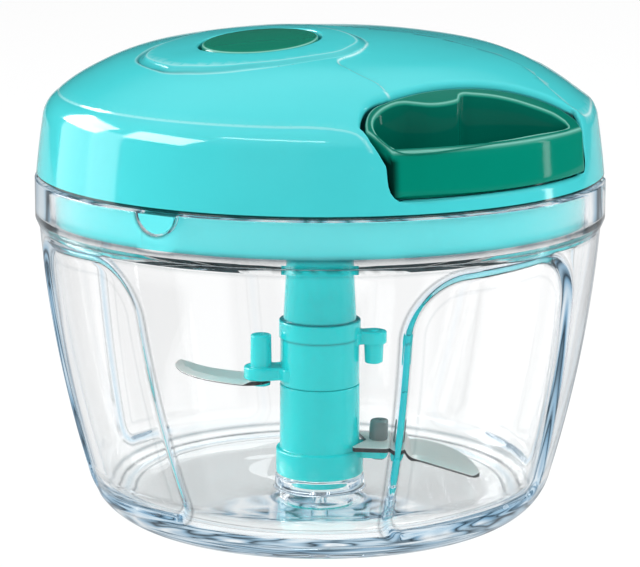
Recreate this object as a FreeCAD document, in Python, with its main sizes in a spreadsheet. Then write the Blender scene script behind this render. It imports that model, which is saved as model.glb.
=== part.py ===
import FreeCAD, Part
import math
import os
import Sketcher

# Pull-string food chopper: clear bowl, blade column and lid with its pull-cord drive.
# Millimetres. The origin is the middle of the bowl's flat base, +Z up, the viewer at -Y.
# Angles are in degrees. Angles called "side" turn from the front (-Y) toward +X.

DRIVING_SIZES = {
    # bowl
    "foot_run": 13.7,
    "corner_radius": 14.0,
    "wall_lean": 10.3,
    "wall_foot_height": 11.0,
    "collar_overhang": 1.0,
    "wall_drop": 11.4,
    "wall_bow": 290.0,
    "bowl_wall": 2.6,
    "floor_height": 5.6,
    "inner_corner_radius": 8.0,
    "inner_corner_rise": 7.2,
    "inner_corner_run": 7.6,
    "collar_radius": 65.0,
    "collar_depth": 9.1,
    "collar_wall": 3.1,
    "ledge_depth": 10.1,
    "seam_height": 79.4,
    "floor_boss_radius": 10.4,
    "floor_boss_height": 3.0,
    "socket_rise": 0.4,
    "pivot_radius": 1.6,
    "pivot_bottom": 2.5,
    "pivot_top": 21.0,
    # grip panels in the bowl wall
    "panel_depth": 1.2,
    "panel_half_width": 23.5,
    "panel_drop": 1.0,
    "panel_bottom": 8.0,
    "panel_corner": 13.0,
    "panel_lean": 2.75,
    "right_panel_side": 40.0,
    "left_panel_side": -59.5,
    # fits
    "running_gap": 0.05,
    "seat_gap": 0.3,
    "foot_gap": 0.3,
    # lid keys
    "key_radius": 4.7,
    "key_lift": 0.3,
    "key_drop": 0.4,
    "key_reach": 3.0,
    "key_side": -32.5,
    # lid cover
    "edge_inset": 1.0,
    "cover_inset": 0.4,
    "edge_rise": 0.8,
    "side_lean": 1.6,
    "side_rise": 12.4,
    "side_bow": 200.0,
    "shoulder_round": 7.0,
    "shoulder_run": 3.7,
    "shoulder_rise": 5.7,
    "crown_round": 50.0,
    "crown_run": 21.3,
    "crown_bow": 190.0,
    "crown_rise": 13.9,
    "cover_wall": 2.2,
    "cover_clearance": 0.7,
    "cutting_room": 2.0,
    # raised oval and badge on the crown
    "oval_rise": 0.6,
    "oval_x": -14.8,
    "oval_y": -15.1,
    "oval_half_length": 25.6,
    "oval_half_width": 23.3,
    "badge_x": -13.4,
    "badge_y": -14.7,
    "badge_radius": 13.0,
    "badge_gap": 0.7,
    "badge_recess": 3.8,
    # lid base
    "skirt_gap": 0.4,
    "skirt_wall": 1.9,
    "skirt_drop": 8.4,
    "skirt_rise": 1.6,
    "deck_drop": 7.4,
    "deck_thickness": 2.5,
    "bearing_rise": 1.8,
    "bearing_wall": 3.0,
    # posts and screws inside the lid
    "post_radius": 3.5,
    "post_offset": 8.5,
    "post_angle": 9.0,
    "screw_inset": 6.3,
    "screw_angle": -170.0,
    "screw_boss_radius": 3.4,
    "screw_boss_rise": 5.7,
    "screw_shank": 1.4,
    "screw_head": 2.7,
    "screw_head_height": 1.3,
    "screw_length": 11.0,
    # pull direction and its pocket, measured along and across the pull
    "pull_angle": -51.0,
    "pocket_rise": 4.1,
    "pocket_wall": 2.0,
    "pocket_depth": 17.3,
    "pocket_slant": 6.6,
    "pocket_left": -28.7,
    "pocket_left_top": -30.5,
    "lean_height": 11.5,
    "pocket_right": 28.2,
    "pocket_back_bow": 180.0,
    "pocket_round": 3.0,
    "pocket_left_round": 8.0,
    "pocket_left_run": 4.0,
    "handle_gap": 0.6,
    "handle_side_gap": 0.7,
    "handle_lift": 0.5,
    "handle_height": 9.4,
    "handle_inset": 0.3,
    "handle_front_taper": 0.8,
    "handle_front_wall": 2.0,
    "handle_back_wall": 1.2,
    "handle_left_wall": 2.0,
    "handle_right_wall": 4.6,
    "handle_recess": 0.5,
    "lobe_thickness": 3.4,
    "lobe_slope": 0.3,
    "lobe_round": 8.0,
    "lobe_left_run": 5.1,
    "lobe_right_run": 1.7,
    "lobe_left": -16.5,
    "lobe_right": -4.0,
    # cord
    "cord_radius": 0.8,
    "cord_side": -9.5,
    "cord_lift": 7.9,
    "cord_turns": 3.0,
    "cord_pitch": 2.1,
    "knot_radius": 1.4,
    "eyelet_radius": 2.6,
    "eyelet_bore": 1.3,
    "eyelet_flange": 3.6,
    # column
    "foot_radius": 6.8,
    "lower_collar_radius": 10.2,
    "lower_collar_bottom": 8.9,
    "lower_collar_top": 14.9,
    "lower_column_radius": 9.28,
    "column_joint": 30.0,
    "upper_column_radius": 9.2,
    "upper_collar_radius": 9.47,
    "upper_collar_bottom": 40.9,
    "upper_collar_top": 45.1,
    "neck_foot_radius": 8.45,
    "neck_radius": 7.8,
    "neck_length": 6.6,
    "neck_gap": 0.3,
    "spigot_radius": 6.0,
    "spigot_length": 7.0,
    "drive_flats": 11.0,
    "drive_length": 9.0,
    "drive_gap": 0.15,
    # blades, their ears and pins
    "blade_thickness": 1.0,
    "upper_ear_x": -13.6,
    "upper_ear_y": -1.0,
    "upper_ear_bottom": 31.3,
    "ear_thickness": 2.9,
    "ear_radius": 4.0,
    "ear_root": 7.4,
    "upper_pin_radius": 2.4,
    "upper_pin_top": 41.6,
    "shank_radius": 1.5,
    "rivet_radius": 2.2,
    "rivet_height": 0.7,
    "peg_ear_x": 12.5,
    "peg_ear_radius": 3.0,
    "peg_ear_bottom": 39.4,
    "peg_radius": 2.3,
    "peg_bottom": 34.7,
    "lower_ear_x": 14.0,
    "lower_ear_bottom": 12.8,
    "blade_drop": 2.0,
    "blade_drop_start": 18.2,
    "blade_drop_length": 3.2,
    "root_clearance": 10.8,
    "cap_radius": 2.5,
    "cap_top_radius": 2.2,
    "cap_height": 4.5,
    # drive inside the lid
    "journal_radius": 8.8,
    "hub_drop": 7.5,
    "hub_disc_thickness": 1.6,
    "ratchet_outer_radius": 19.5,
    "ratchet_rim": 2.2,
    "tooth_depth": 1.7,
    "ratchet_height": 4.2,
    "ratchet_phase": 18.0,
    "pawl_lift": 0.5,
    "pawl_inset": 5.1,
    "pawl_radius": 2.4,
    "pawl_thickness": 3.4,
    "pawl_nose_radius": 0.9,
    "pawl_nose_out": 0.81,
    "pawl_nose_below": 1.04,
    "pawl_pin_radius": 1.0,
    "axle_radius": 2.0,
    "axle_head_radius": 4.0,
    "drum_lift": 10.7,
    "drum_plate": 1.5,
    "drum_groove_radius": 20.0,
    "drum_groove_width": 8.3,
    "drum_flange_radius": 27.0,
    "drum_hollow_inner": 8.0,
    "drum_hollow_outer": 18.0,
    "drum_neck_radius": 5.5,
    "drum_length": 18.9,
    "case_lift": 11.6,
    "case_floor_thickness": 1.0,
    "case_radius": 29.5,
    "case_wall": 1.5,
    "case_height": 7.6,
    "case_cover_thickness": 1.0,
    "spring_thickness": 0.35,
    "spring_inner_radius": 6.4,
    "spring_side_gap": 1.2,
    "spring_turns": 9.0,
    "spring_clearance": 0.5,
}

FULL_TURN = 360.0
KEY_COUNT = 3
POST_COUNT = 3
SCREW_COUNT = 3
PAWL_COUNT = 3
TOOTH_COUNT = 12
DRIVE_SIDES = 6
TOLERANCE = 1e-6

doc = FreeCAD.newDocument("food_chopper")
sheet = doc.addObject("Spreadsheet::Sheet", "sizes")
for row, (alias, value) in enumerate(DRIVING_SIZES.items(), start=1):
    sheet.set("A%d" % row, str(value))
    sheet.setAlias("A%d" % row, alias)
doc.recompute()


class Size:
    """A number together with the sheet formula that gives it."""

    def __init__(self, value, formula):
        self.value = float(value)
        self.formula = formula

    def __add__(self, other):
        other = as_size(other)
        return Size(self.value + other.value, "(%s + %s)" % (self.formula, other.formula))

    def __sub__(self, other):
        other = as_size(other)
        return Size(self.value - other.value, "(%s - %s)" % (self.formula, other.formula))

    def __mul__(self, other):
        other = as_size(other)
        return Size(self.value * other.value, "(%s * %s)" % (self.formula, other.formula))

    def __truediv__(self, other):
        other = as_size(other)
        return Size(self.value / other.value, "(%s / %s)" % (self.formula, other.formula))

    def __neg__(self):
        return Size(-self.value, "(0 - %s)" % self.formula)


def as_size(number):
    """Turn a plain number into a Size, and leave a Size as it is."""
    if isinstance(number, Size):
        return number
    return Size(number, repr(float(number)))


def cos(angle):
    angle = as_size(angle)
    return Size(math.cos(math.radians(angle.value)), "cos(%s)" % angle.formula)


def sin(angle):
    angle = as_size(angle)
    return Size(math.sin(math.radians(angle.value)), "sin(%s)" % angle.formula)


def root(size):
    return Size(math.sqrt(size.value), "sqrt(%s)" % size.formula)


class Cells:
    """The driving sizes by name, each read from its cell of the sheet."""

    def __getattr__(self, name):
        return Size(sheet.get(name), "sizes.%s" % name)


s = Cells()

# Radii stacked in from the bowl's collar, and heights stacked from its rim.
s.wall_top_radius = s.collar_radius - s.collar_overhang
s.wall_foot_radius = s.wall_top_radius - s.wall_lean
s.base_radius = s.wall_foot_radius - s.foot_run
s.collar_bore = s.collar_radius - s.collar_wall
s.skirt_radius = s.collar_bore - s.skirt_gap
s.edge_radius = s.collar_radius - s.edge_inset
s.cover_radius = s.collar_radius - s.cover_inset
s.shoulder_radius = s.cover_radius - s.side_lean
s.crease_radius = s.shoulder_radius - s.shoulder_run
s.crown_join_radius = s.crease_radius - s.crown_run
s.handle_front_radius = s.cover_radius - s.handle_inset
s.pocket_back = s.handle_front_radius - s.pocket_depth
s.pocket_back_right = s.pocket_back + s.pocket_slant
s.screw_circle = s.crease_radius - s.screw_inset
s.post_circle = s.case_radius + s.post_offset
s.collar_step_height = s.seam_height - s.collar_depth
s.ledge_height = s.seam_height - s.ledge_depth
s.wall_top_height = s.seam_height - s.wall_drop
s.panel_top = s.wall_top_height - s.panel_drop
s.key_centre_height = s.seam_height + s.key_lift
s.key_top = s.seam_height - s.key_drop
s.cover_rim_height = s.seam_height + s.edge_rise
s.shoulder_height = s.cover_rim_height + s.side_rise
s.crease_height = s.shoulder_height + s.shoulder_rise
s.crown_height = s.crease_height + s.crown_rise
s.badge_seat_height = s.crown_height - s.badge_recess
s.skirt_bottom = s.seam_height - s.skirt_drop
s.skirt_top = s.seam_height + s.skirt_rise
s.deck_bottom = s.seam_height - s.deck_drop
s.screw_boss_top = s.crease_height + s.screw_boss_rise
s.pocket_floor = s.seam_height + s.pocket_rise
s.pocket_left_top_height = s.pocket_floor + s.lean_height
s.handle_bottom = s.pocket_floor + s.handle_lift
s.handle_front_top = s.handle_bottom + s.handle_height
s.cord_height = s.pocket_floor + s.cord_lift
s.hub_bottom = s.deck_bottom - s.hub_drop
s.neck_top = s.hub_bottom - s.neck_gap
s.neck_start = s.neck_top - s.neck_length
s.drum_bottom = s.deck_bottom + s.drum_lift
s.drum_neck_top = s.drum_bottom + s.drum_length
s.case_floor_bottom = s.drum_bottom + s.case_lift
s.case_top = s.case_floor_bottom + s.case_height
s.spring_outer_radius = s.case_radius - s.case_wall - s.spring_side_gap
s.ratchet_root_radius = s.ratchet_outer_radius - s.ratchet_rim
s.ratchet_tip_radius = s.ratchet_root_radius - s.tooth_depth
s.pawl_circle = s.ratchet_tip_radius - s.pawl_inset

# The nose of each pawl lies just ahead of and just inside the second tooth's tip.
nose_angle = s.ratchet_phase + FULL_TURN / TOOTH_COUNT
s.pawl_nose_x = s.ratchet_tip_radius * cos(nose_angle) + s.pawl_nose_out
s.pawl_nose_y = s.ratchet_tip_radius * sin(nose_angle) - s.pawl_nose_below


def set_size(item, prop, size):
    """Give a property its number, and bind it to the sheet where it isn't a plain number."""
    size = as_size(size)
    if "sizes." in size.formula:
        item.setExpression(prop, size.formula)
    else:
        setattr(item, prop, size.value)


def place(item, x=0, y=0, z=0, turn=0, axis=(0, 0, 1)):
    """Place an object, turned about an axis, with its numbers bound to the sheet."""
    x, y, z, turn = as_size(x), as_size(y), as_size(z), as_size(turn)
    rotation = FreeCAD.Rotation(FreeCAD.Vector(*axis), turn.value)
    item.Placement = FreeCAD.Placement(FreeCAD.Vector(x.value, y.value, z.value), rotation)
    for prop, size in (("Base.x", x), ("Base.y", y), ("Base.z", z), ("Rotation.Angle", turn)):
        if "sizes." in size.formula:
            item.setExpression("Placement." + prop, size.formula)
    return item


def arc_between(start, end, radius):
    """Return the arc from start to end, bulging right of the way for a positive radius."""
    if radius < 0:
        start, end = end, start
    chord = end - start
    half = chord.Length / 2
    size = max(abs(radius), half * 1.0001)
    left = FreeCAD.Vector(-chord.y, chord.x, 0).normalize()
    centre = (start + end) * 0.5 + left * math.sqrt(size * size - half * half)
    first = math.atan2(start.y - centre.y, start.x - centre.x)
    last = math.atan2(end.y - centre.y, end.x - centre.x)
    return Part.ArcOfCircle(Part.Circle(centre, FreeCAD.Vector(0, 0, 1), size), first, last)


def draw(sketch, points):
    """Draw a closed outline, each point (x, y) or (x, y, radius of the arc that leaves it)."""
    spots = [FreeCAD.Vector(as_size(p[0]).value, as_size(p[1]).value, 0) for p in points]
    count = len(points)
    edges = []
    for index, point in enumerate(points):
        start, end = spots[index], spots[(index + 1) % count]
        if len(point) > 2:
            circle = arc_between(start, end, as_size(point[2]).value)
            edges.append(sketch.addGeometry(circle))
        else:
            edges.append(sketch.addGeometry(Part.LineSegment(start, end)))
    ends = []
    for index, edge in enumerate(edges):
        geometry = sketch.Geometry[edge]
        forward = (geometry.StartPoint - spots[index]).Length < TOLERANCE
        ends.append((1, 2) if forward else (2, 1))
    for index in range(count):
        after = (index + 1) % count
        join = Sketcher.Constraint("Coincident", edges[index], ends[index][1], edges[after], ends[after][0])
        sketch.addConstraint(join)
    for index, point in enumerate(points):
        corner = (edges[index], ends[index][0])
        for kind, size, axis in (("DistanceX", as_size(point[0]), -2), ("DistanceY", as_size(point[1]), -1)):
            if abs(size.value) < TOLERANCE and "sizes." not in size.formula:
                sketch.addConstraint(Sketcher.Constraint("PointOnObject", corner[0], corner[1], axis))
                continue
            number = sketch.addConstraint(Sketcher.Constraint(kind, corner[0], corner[1], size.value))
            if "sizes." in size.formula:
                sketch.setExpression("Constraints[%d]" % number, size.formula)
        if len(point) > 2:
            radius = as_size(point[2])
            bulge = abs(radius.value)
            number = sketch.addConstraint(Sketcher.Constraint("Radius", edges[index], bulge))
            if "sizes." in radius.formula:
                sketch.setExpression("Constraints[%d]" % number, "abs(%s)" % radius.formula)


def new_sketch(body, role, offset=0, turn=0):
    """Add a sketch on one of the body's own planes, lifted off it by an offset and turned."""
    sketch = body.newObject("Sketcher::SketchObject", body.Name + "_sketch")
    plane = [item for item in body.Origin.OriginFeatures if item.Role == role][0]
    sketch.AttachmentSupport = [(plane, "")]
    sketch.MapMode = "FlatFace"
    offset, turn = as_size(offset), as_size(turn)
    rotation = FreeCAD.Rotation(FreeCAD.Vector(0, 0, 1), turn.value)
    sketch.AttachmentOffset = FreeCAD.Placement(FreeCAD.Vector(0, 0, offset.value), rotation)
    if "sizes." in offset.formula:
        sketch.setExpression("AttachmentOffset.Base.z", offset.formula)
    if "sizes." in turn.formula:
        sketch.setExpression("AttachmentOffset.Rotation.Angle", turn.formula)
    return sketch


def turned(name, points):
    """Make a body by turning a profile of (radius, height) points about the vertical axis."""
    body = doc.addObject("PartDesign::Body", name)
    sketch = new_sketch(body, "XZ_Plane")
    draw(sketch, points)
    feature = body.newObject("PartDesign::Revolution", name + "_turn")
    feature.Profile = sketch
    feature.ReferenceAxis = (sketch, ["V_Axis"])
    feature.Angle = FULL_TURN
    sketch.Visibility = False
    return body


def padded(name, points, bottom, height, turn=0):
    """Make a body by raising a plan outline from a height, with the outline turned."""
    body = doc.addObject("PartDesign::Body", name)
    sketch = new_sketch(body, "XY_Plane", bottom, turn)
    draw(sketch, points)
    feature = body.newObject("PartDesign::Pad", name + "_pad")
    feature.Profile = sketch
    set_size(feature, "Length", height)
    sketch.Visibility = False
    return body


def front_padded(name, points, near, length, side):
    """Make a body by running a front-view outline forward from a distance, turned to a side."""
    body = doc.addObject("PartDesign::Body", name)
    sketch = new_sketch(body, "XZ_Plane", near)
    draw(sketch, points)
    feature = body.newObject("PartDesign::Pad", name + "_pad")
    feature.Profile = sketch
    set_size(feature, "Length", length)
    place(body, turn=side)
    return body


def rod(name, radius, bottom, height, x=0, y=0):
    """Make an upright cylinder."""
    item = doc.addObject("Part::Cylinder", name)
    set_size(item, "Radius", radius)
    set_size(item, "Height", height)
    return place(item, x, y, bottom)


def lying_rod(name, radius, start, length, across, height):
    """Make a cylinder that lies along the pull, from a distance out, at a place across it."""
    item = doc.addObject("Part::Cylinder", name)
    set_size(item, "Radius", radius)
    set_size(item, "Height", length)
    x, y = pull_place(start, across)
    place(item, x, y, height)
    along = FreeCAD.Vector(cos(s.pull_angle).value, sin(s.pull_angle).value, 0)
    item.Placement.Rotation = FreeCAD.Rotation(FreeCAD.Vector(0, 0, 1), along)
    item.setExpression("Placement.Rotation", "create(<<rotation>>; sizes.pull_angle; 90; 0)")
    return item


def pull_place(along, across):
    """Turn a place along and across the pull into x and y."""
    x = cos(s.pull_angle) * along - sin(s.pull_angle) * across
    y = sin(s.pull_angle) * along + cos(s.pull_angle) * across
    return x, y


def around(circle, angle):
    """Return the place on a circle about the axis at an angle from +X."""
    return as_size(circle) * cos(angle), as_size(circle) * sin(angle)


def fused(name, items):
    item = doc.addObject("Part::MultiFuse", name)
    item.Shapes = items
    return item


def shared(name, first, second):
    item = doc.addObject("Part::Common", name)
    item.Base = first
    item.Tool = second
    return item


def cut(name, base, tools):
    """Cut one or more tools out of a base."""
    tool = tools[0] if len(tools) == 1 else fused(name + "_tools", tools)
    item = doc.addObject("Part::Cut", name)
    item.Base = base
    item.Tool = tool
    return item


nodes = []


def keep(item, label):
    """Give a finished sub-part its own label and list it for writing."""
    item.Label = label
    nodes.append(item)
    return item


# Bowl: turned shell with a counterbored collar, a floor boss, grip panels and key notches.
boss_top = s.floor_height + s.floor_boss_height
socket_radius = s.foot_radius + s.foot_gap
socket_floor = s.floor_height + s.socket_rise
foot_bottom = socket_floor + s.seat_gap
inner_foot_radius = s.wall_foot_radius - s.bowl_wall
inner_top_radius = s.wall_top_radius - s.bowl_wall


def wall_profile(inset):
    """Return the bowl wall's foot and top radius, moved in by an inset."""
    return s.wall_foot_radius - inset, s.wall_top_radius - inset


def make_bowl():
    shell = turned("bowl_shell", [
        (0, 0),
        (s.base_radius, 0, s.corner_radius),
        (s.wall_foot_radius, s.wall_foot_height, s.wall_bow),
        (s.wall_top_radius, s.wall_top_height),
        (s.collar_radius, s.collar_step_height),
        (s.collar_radius, s.seam_height),
        (s.collar_bore, s.seam_height),
        (s.collar_bore, s.ledge_height),
        (inner_top_radius, s.ledge_height, -s.wall_bow),
        (inner_foot_radius, s.floor_height + s.inner_corner_rise, -s.inner_corner_radius),
        (inner_foot_radius - s.inner_corner_run, s.floor_height),
        (s.floor_boss_radius, s.floor_height),
        (s.floor_boss_radius, boss_top),
        (socket_radius, boss_top),
        (socket_radius, socket_floor),
        (s.pivot_radius, socket_floor),
        (s.pivot_radius, s.pivot_bottom),
        (0, s.pivot_bottom),
    ])
    panel_foot, panel_head = wall_profile(s.panel_depth)
    outside = s.collar_radius + s.bowl_wall
    panel_ring = turned("panel_ring", [
        (panel_foot, s.wall_foot_height, s.wall_bow),
        (panel_head, s.wall_top_height),
        (outside, s.wall_top_height),
        (outside, 0),
        (s.base_radius, 0, s.corner_radius),
    ])
    arches = []
    for name, side in (("right", s.right_panel_side), ("left", s.left_panel_side)):
        for end, turn in (("front", 0), ("rear", 180)):
            arch = front_padded("arch_%s_%s" % (name, end), arch_outline(), 0, outside, side + turn)
            arches.append(arch)
    panels = shared("panel_recesses", panel_ring, fused("arches", arches))
    notches = []
    for index in range(KEY_COUNT):
        side = s.key_side + index * FULL_TURN / KEY_COUNT
        notch_radius = s.key_radius + s.seat_gap
        notches.append(key_disc("notch_%d" % index, notch_radius, s.seam_height + s.seat_gap, side, outside))
    return keep(cut("bowl_body", shell, [panels] + notches), "bowl")


def arch_outline():
    """Return the grip panel's outline, leaning about its middle, as seen from straight ahead."""
    middle = (s.panel_top + s.panel_bottom) / 2
    half_height = (s.panel_top - s.panel_bottom) / 2
    corners = (
        (s.panel_half_width, -half_height, None),
        (s.panel_half_width, half_height - s.panel_corner, s.panel_corner),
        (s.panel_half_width - s.panel_corner, half_height, None),
        (s.panel_corner - s.panel_half_width, half_height, s.panel_corner),
        (-s.panel_half_width, half_height - s.panel_corner, None),
        (-s.panel_half_width, -half_height, None),
    )
    outline = []
    for across, up, radius in corners:
        x = across * cos(s.panel_lean) - up * sin(s.panel_lean)
        z = middle + across * sin(s.panel_lean) + up * cos(s.panel_lean)
        outline.append((x, z) if radius is None else (x, z, radius))
    return outline


def key_disc(name, radius, top, side, reach):
    """Make a rounded tab under a flat top, standing out from the skirt to a reach."""
    rise = as_size(top) - s.key_centre_height
    half = root(radius * radius - rise * rise)
    near = s.skirt_radius - s.skirt_wall / 2
    middle = s.key_centre_height - radius
    outline = [(half, top), (-half, top, radius), (0, middle, radius)]
    return front_padded(name, outline, near, reach - near, side)


make_bowl()
pivot_pin = rod("pivot", s.pivot_radius, s.pivot_bottom, s.pivot_top - s.pivot_bottom)
keep(pivot_pin, "bowl_pivot_pin")


# Column: two stacked sleeves with an ear for each blade, on the bowl's pin.
def ear(name, x, y, radius, bottom):
    """Make an ear that reaches from inside the column out to a boss."""
    boss = rod(name + "_boss", radius, bottom, s.ear_thickness, x, y)
    arm = doc.addObject("Part::Box", name + "_arm")
    outward = 1 if as_size(x).value > 0 else -1
    reach = as_size(x) * outward - s.ear_root
    set_size(arm, "Length", reach)
    set_size(arm, "Width", as_size(radius) * 2)
    set_size(arm, "Height", s.ear_thickness)
    start = s.ear_root if outward > 0 else as_size(x)
    place(arm, start, as_size(y) - radius, bottom)
    return fused(name, [boss, arm])


def make_lower_column():
    bore = s.pivot_radius + s.running_gap
    socket = s.spigot_radius + s.running_gap
    socket_bottom = s.column_joint - s.spigot_length - s.seat_gap
    sleeve = turned("lower_sleeve", [
        (bore, foot_bottom),
        (s.foot_radius, foot_bottom),
        (s.foot_radius, s.lower_collar_bottom),
        (s.lower_collar_radius, s.lower_collar_bottom),
        (s.lower_collar_radius, s.lower_collar_top),
        (s.lower_column_radius, s.lower_collar_top),
        (s.lower_column_radius, s.column_joint),
        (socket, s.column_joint),
        (socket, socket_bottom),
        (bore, socket_bottom),
    ])
    lug = ear("lower_ear", s.lower_ear_x, 0, s.ear_radius, s.lower_ear_bottom)
    hole = rod("lower_ear_hole", s.shank_radius, s.lower_ear_bottom, s.ear_thickness, s.lower_ear_x)
    keep(cut("lower_column_body", fused("lower_column_solid", [sleeve, lug]), [hole]), "lower_column")


def hexagon(flats):
    """Return a hexagon's corners for a width across its flats."""
    corner = as_size(flats) / (2 * math.cos(math.pi / DRIVE_SIDES))
    step = FULL_TURN / DRIVE_SIDES
    return [(corner * cos(index * step), corner * sin(index * step)) for index in range(DRIVE_SIDES)]


def make_upper_column():
    sleeve = turned("upper_sleeve", [
        (0, s.column_joint - s.spigot_length),
        (s.spigot_radius, s.column_joint - s.spigot_length),
        (s.spigot_radius, s.column_joint),
        (s.upper_column_radius, s.column_joint),
        (s.upper_column_radius, s.upper_collar_bottom),
        (s.upper_collar_radius, s.upper_collar_bottom),
        (s.upper_collar_radius, s.upper_collar_top),
        (s.neck_foot_radius, s.upper_collar_top),
        (s.neck_radius, s.neck_start),
        (s.neck_radius, s.neck_top),
        (0, s.neck_top),
    ])
    drive = padded("drive_head", hexagon(s.drive_flats), s.neck_top, s.drive_length)
    blade_ear = ear("upper_ear", s.upper_ear_x, s.upper_ear_y, s.ear_radius, s.upper_ear_bottom)
    peg_ear = ear("peg_ear", s.peg_ear_x, 0, s.peg_ear_radius, s.peg_ear_bottom)
    peg = rod("peg", s.peg_radius, s.peg_bottom, s.peg_ear_bottom - s.peg_bottom, s.peg_ear_x)
    solid = fused("upper_column_solid", [sleeve, drive, blade_ear, peg_ear, peg])
    hole = rod("upper_ear_hole", s.shank_radius, s.upper_ear_bottom, s.ear_thickness,
               s.upper_ear_x, s.upper_ear_y)
    keep(cut("upper_column_body", solid, [hole]), "upper_column")


make_lower_column()
make_upper_column()


# Blades: thin steel, held under the upper ear and over the lower one.
UPPER_BLADE_OUTLINE = [
    (-17.7, -5.0, -32.0),
    (-28.5, 1.9, -22.0),
    (-34.6, 16.8),
    (-33.5, 17.8, 60.0),
    (-26.5, 9.6, 34.0),
    (-17.9, 5.0),
    (-16.4, 5.0, -5.0),
    (-16.4, -5.0),
]
LOWER_BLADE_EDGES = [
    (18.2, -9.8),
    (22.4, -9.8),
    (34.5, -24.0, 1.2),
    (35.8, -22.4),
    (35.8, -20.6, 60.0),
    (31.8, -3.8, 25.0),
    (23.3, 6.6),
    (18.2, 6.6),
]
LOWER_ROOT_NEAR = [(9.0, 6.0), (7.0, -8.4)]


def make_upper_blade():
    bottom = s.upper_ear_bottom - s.blade_thickness
    plate = padded("upper_blade_plate", UPPER_BLADE_OUTLINE, bottom, s.blade_thickness)
    hole = rod("upper_blade_hole", s.shank_radius, bottom, s.blade_thickness, s.upper_ear_x, s.upper_ear_y)
    keep(cut("upper_blade_body", plate, [hole]), "upper_blade")


def make_lower_blade():
    bottom = s.lower_ear_bottom + s.ear_thickness
    top = bottom + s.blade_thickness
    drop_end = s.blade_drop_start + s.blade_drop_length
    far = s.wall_foot_radius
    strip = doc.addObject("PartDesign::Body", "lower_blade_strip")
    sketch = new_sketch(strip, "XZ_Plane")
    draw(sketch, [
        (0, bottom),
        (s.blade_drop_start, bottom),
        (drop_end, bottom - s.blade_drop),
        (far, bottom - s.blade_drop),
        (far, top - s.blade_drop),
        (drop_end, top - s.blade_drop),
        (s.blade_drop_start, top),
        (0, top),
    ])
    pad = strip.newObject("PartDesign::Pad", "lower_blade_strip_pad")
    pad.Profile = sketch
    set_size(pad, "Length", s.wall_foot_radius * 2)
    pad.Midplane = True
    plan = padded("lower_blade_plan", LOWER_BLADE_EDGES + LOWER_ROOT_NEAR, 0, s.column_joint)
    column_space = rod("column_space", s.root_clearance, 0, s.column_joint)
    hole = rod("lower_blade_hole", s.shank_radius, 0, s.column_joint, s.lower_ear_x)
    keep(cut("lower_blade_body", shared("lower_blade_solid", strip, plan), [column_space, hole]),
         "lower_blade")


def make_blade_pins():
    shank_bottom = s.upper_ear_bottom - s.blade_thickness
    upper = turned("upper_pin", [
        (0, shank_bottom - s.rivet_height),
        (s.rivet_radius, shank_bottom - s.rivet_height),
        (s.rivet_radius, shank_bottom),
        (s.shank_radius, shank_bottom),
        (s.shank_radius, s.upper_ear_bottom + s.ear_thickness),
        (s.upper_pin_radius, s.upper_ear_bottom + s.ear_thickness),
        (s.upper_pin_radius, s.upper_pin_top),
        (0, s.upper_pin_top),
    ])
    keep(place(upper, s.upper_ear_x, s.upper_ear_y), "upper_blade_pin")
    cap_bottom = s.lower_ear_bottom + s.ear_thickness + s.blade_thickness
    lower = turned("lower_pin", [
        (0, s.lower_ear_bottom - s.rivet_height),
        (s.rivet_radius, s.lower_ear_bottom - s.rivet_height),
        (s.rivet_radius, s.lower_ear_bottom),
        (s.shank_radius, s.lower_ear_bottom),
        (s.shank_radius, cap_bottom),
        (s.cap_radius, cap_bottom),
        (s.cap_top_radius, cap_bottom + s.cap_height),
        (0, cap_bottom + s.cap_height),
    ])
    keep(place(lower, s.lower_ear_x), "lower_blade_pin")


make_upper_blade()
make_lower_blade()
make_blade_pins()

# Lid: cover, base with its skirt and keys, and the badge.
deck_top = s.deck_bottom + s.deck_thickness
pull_left = s.pocket_left + s.handle_side_gap
pull_right = s.pocket_right - s.handle_side_gap
crown_join_drop = s.crown_bow - root(s.crown_bow * s.crown_bow - s.crown_join_radius * s.crown_join_radius)
crown_join_height = s.crown_height - crown_join_drop
lid_ceiling = s.crown_height + s.cutting_room


def crown_profile(rise, bottom):
    """Return a solid of the crown's shape, raised by a rise, down to a flat bottom."""
    return [
        (0, bottom),
        (s.crease_radius, bottom),
        (s.crease_radius, s.crease_height + rise, s.crown_round),
        (s.crown_join_radius, crown_join_height + rise, s.crown_bow),
        (0, s.crown_height + rise),
    ]


def pocket_outline(grow):
    """Return the handle pocket's plan, grown on all sides, open past the lid's edge."""
    grow = as_size(grow)
    back = s.pocket_back - grow
    back_right = s.pocket_back_right - grow
    left = s.pocket_left - grow
    right = s.pocket_right + grow
    front = s.collar_radius + s.pocket_wall
    return [(front, left), (front, right)] + pocket_back_outline(back, back_right, left, right)


def pocket_back_outline(back, back_right, left, right):
    """Return the plan's right corner, bowed back and rounded left corner, going left."""
    corner = s.pocket_round
    left_corner = s.pocket_left_round
    return [
        (back_right + corner, right, corner),
        (back_right, right - corner, s.pocket_back_bow),
        (back, left + left_corner, left_corner),
        (back + s.pocket_left_run, left),
    ]


def pocket_lean():
    """Make the wedge that leans the pocket's left wall outward toward the top."""
    body = doc.addObject("PartDesign::Body", "pocket_wedge")
    sketch = new_sketch(body, "YZ_Plane", s.pocket_back + s.pocket_left_run)
    draw(sketch, [
        (s.pocket_left + s.handle_gap, s.pocket_floor),
        (s.pocket_left + s.handle_gap, lid_ceiling),
        (s.pocket_left_top, lid_ceiling),
        (s.pocket_left_top, s.pocket_left_top_height),
        (s.pocket_left, s.pocket_floor),
    ])
    pad = body.newObject("PartDesign::Pad", "pocket_wedge_pad")
    pad.Profile = sketch
    set_size(pad, "Length", s.collar_radius - s.pocket_back)
    return place(body, turn=s.pull_angle)


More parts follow.
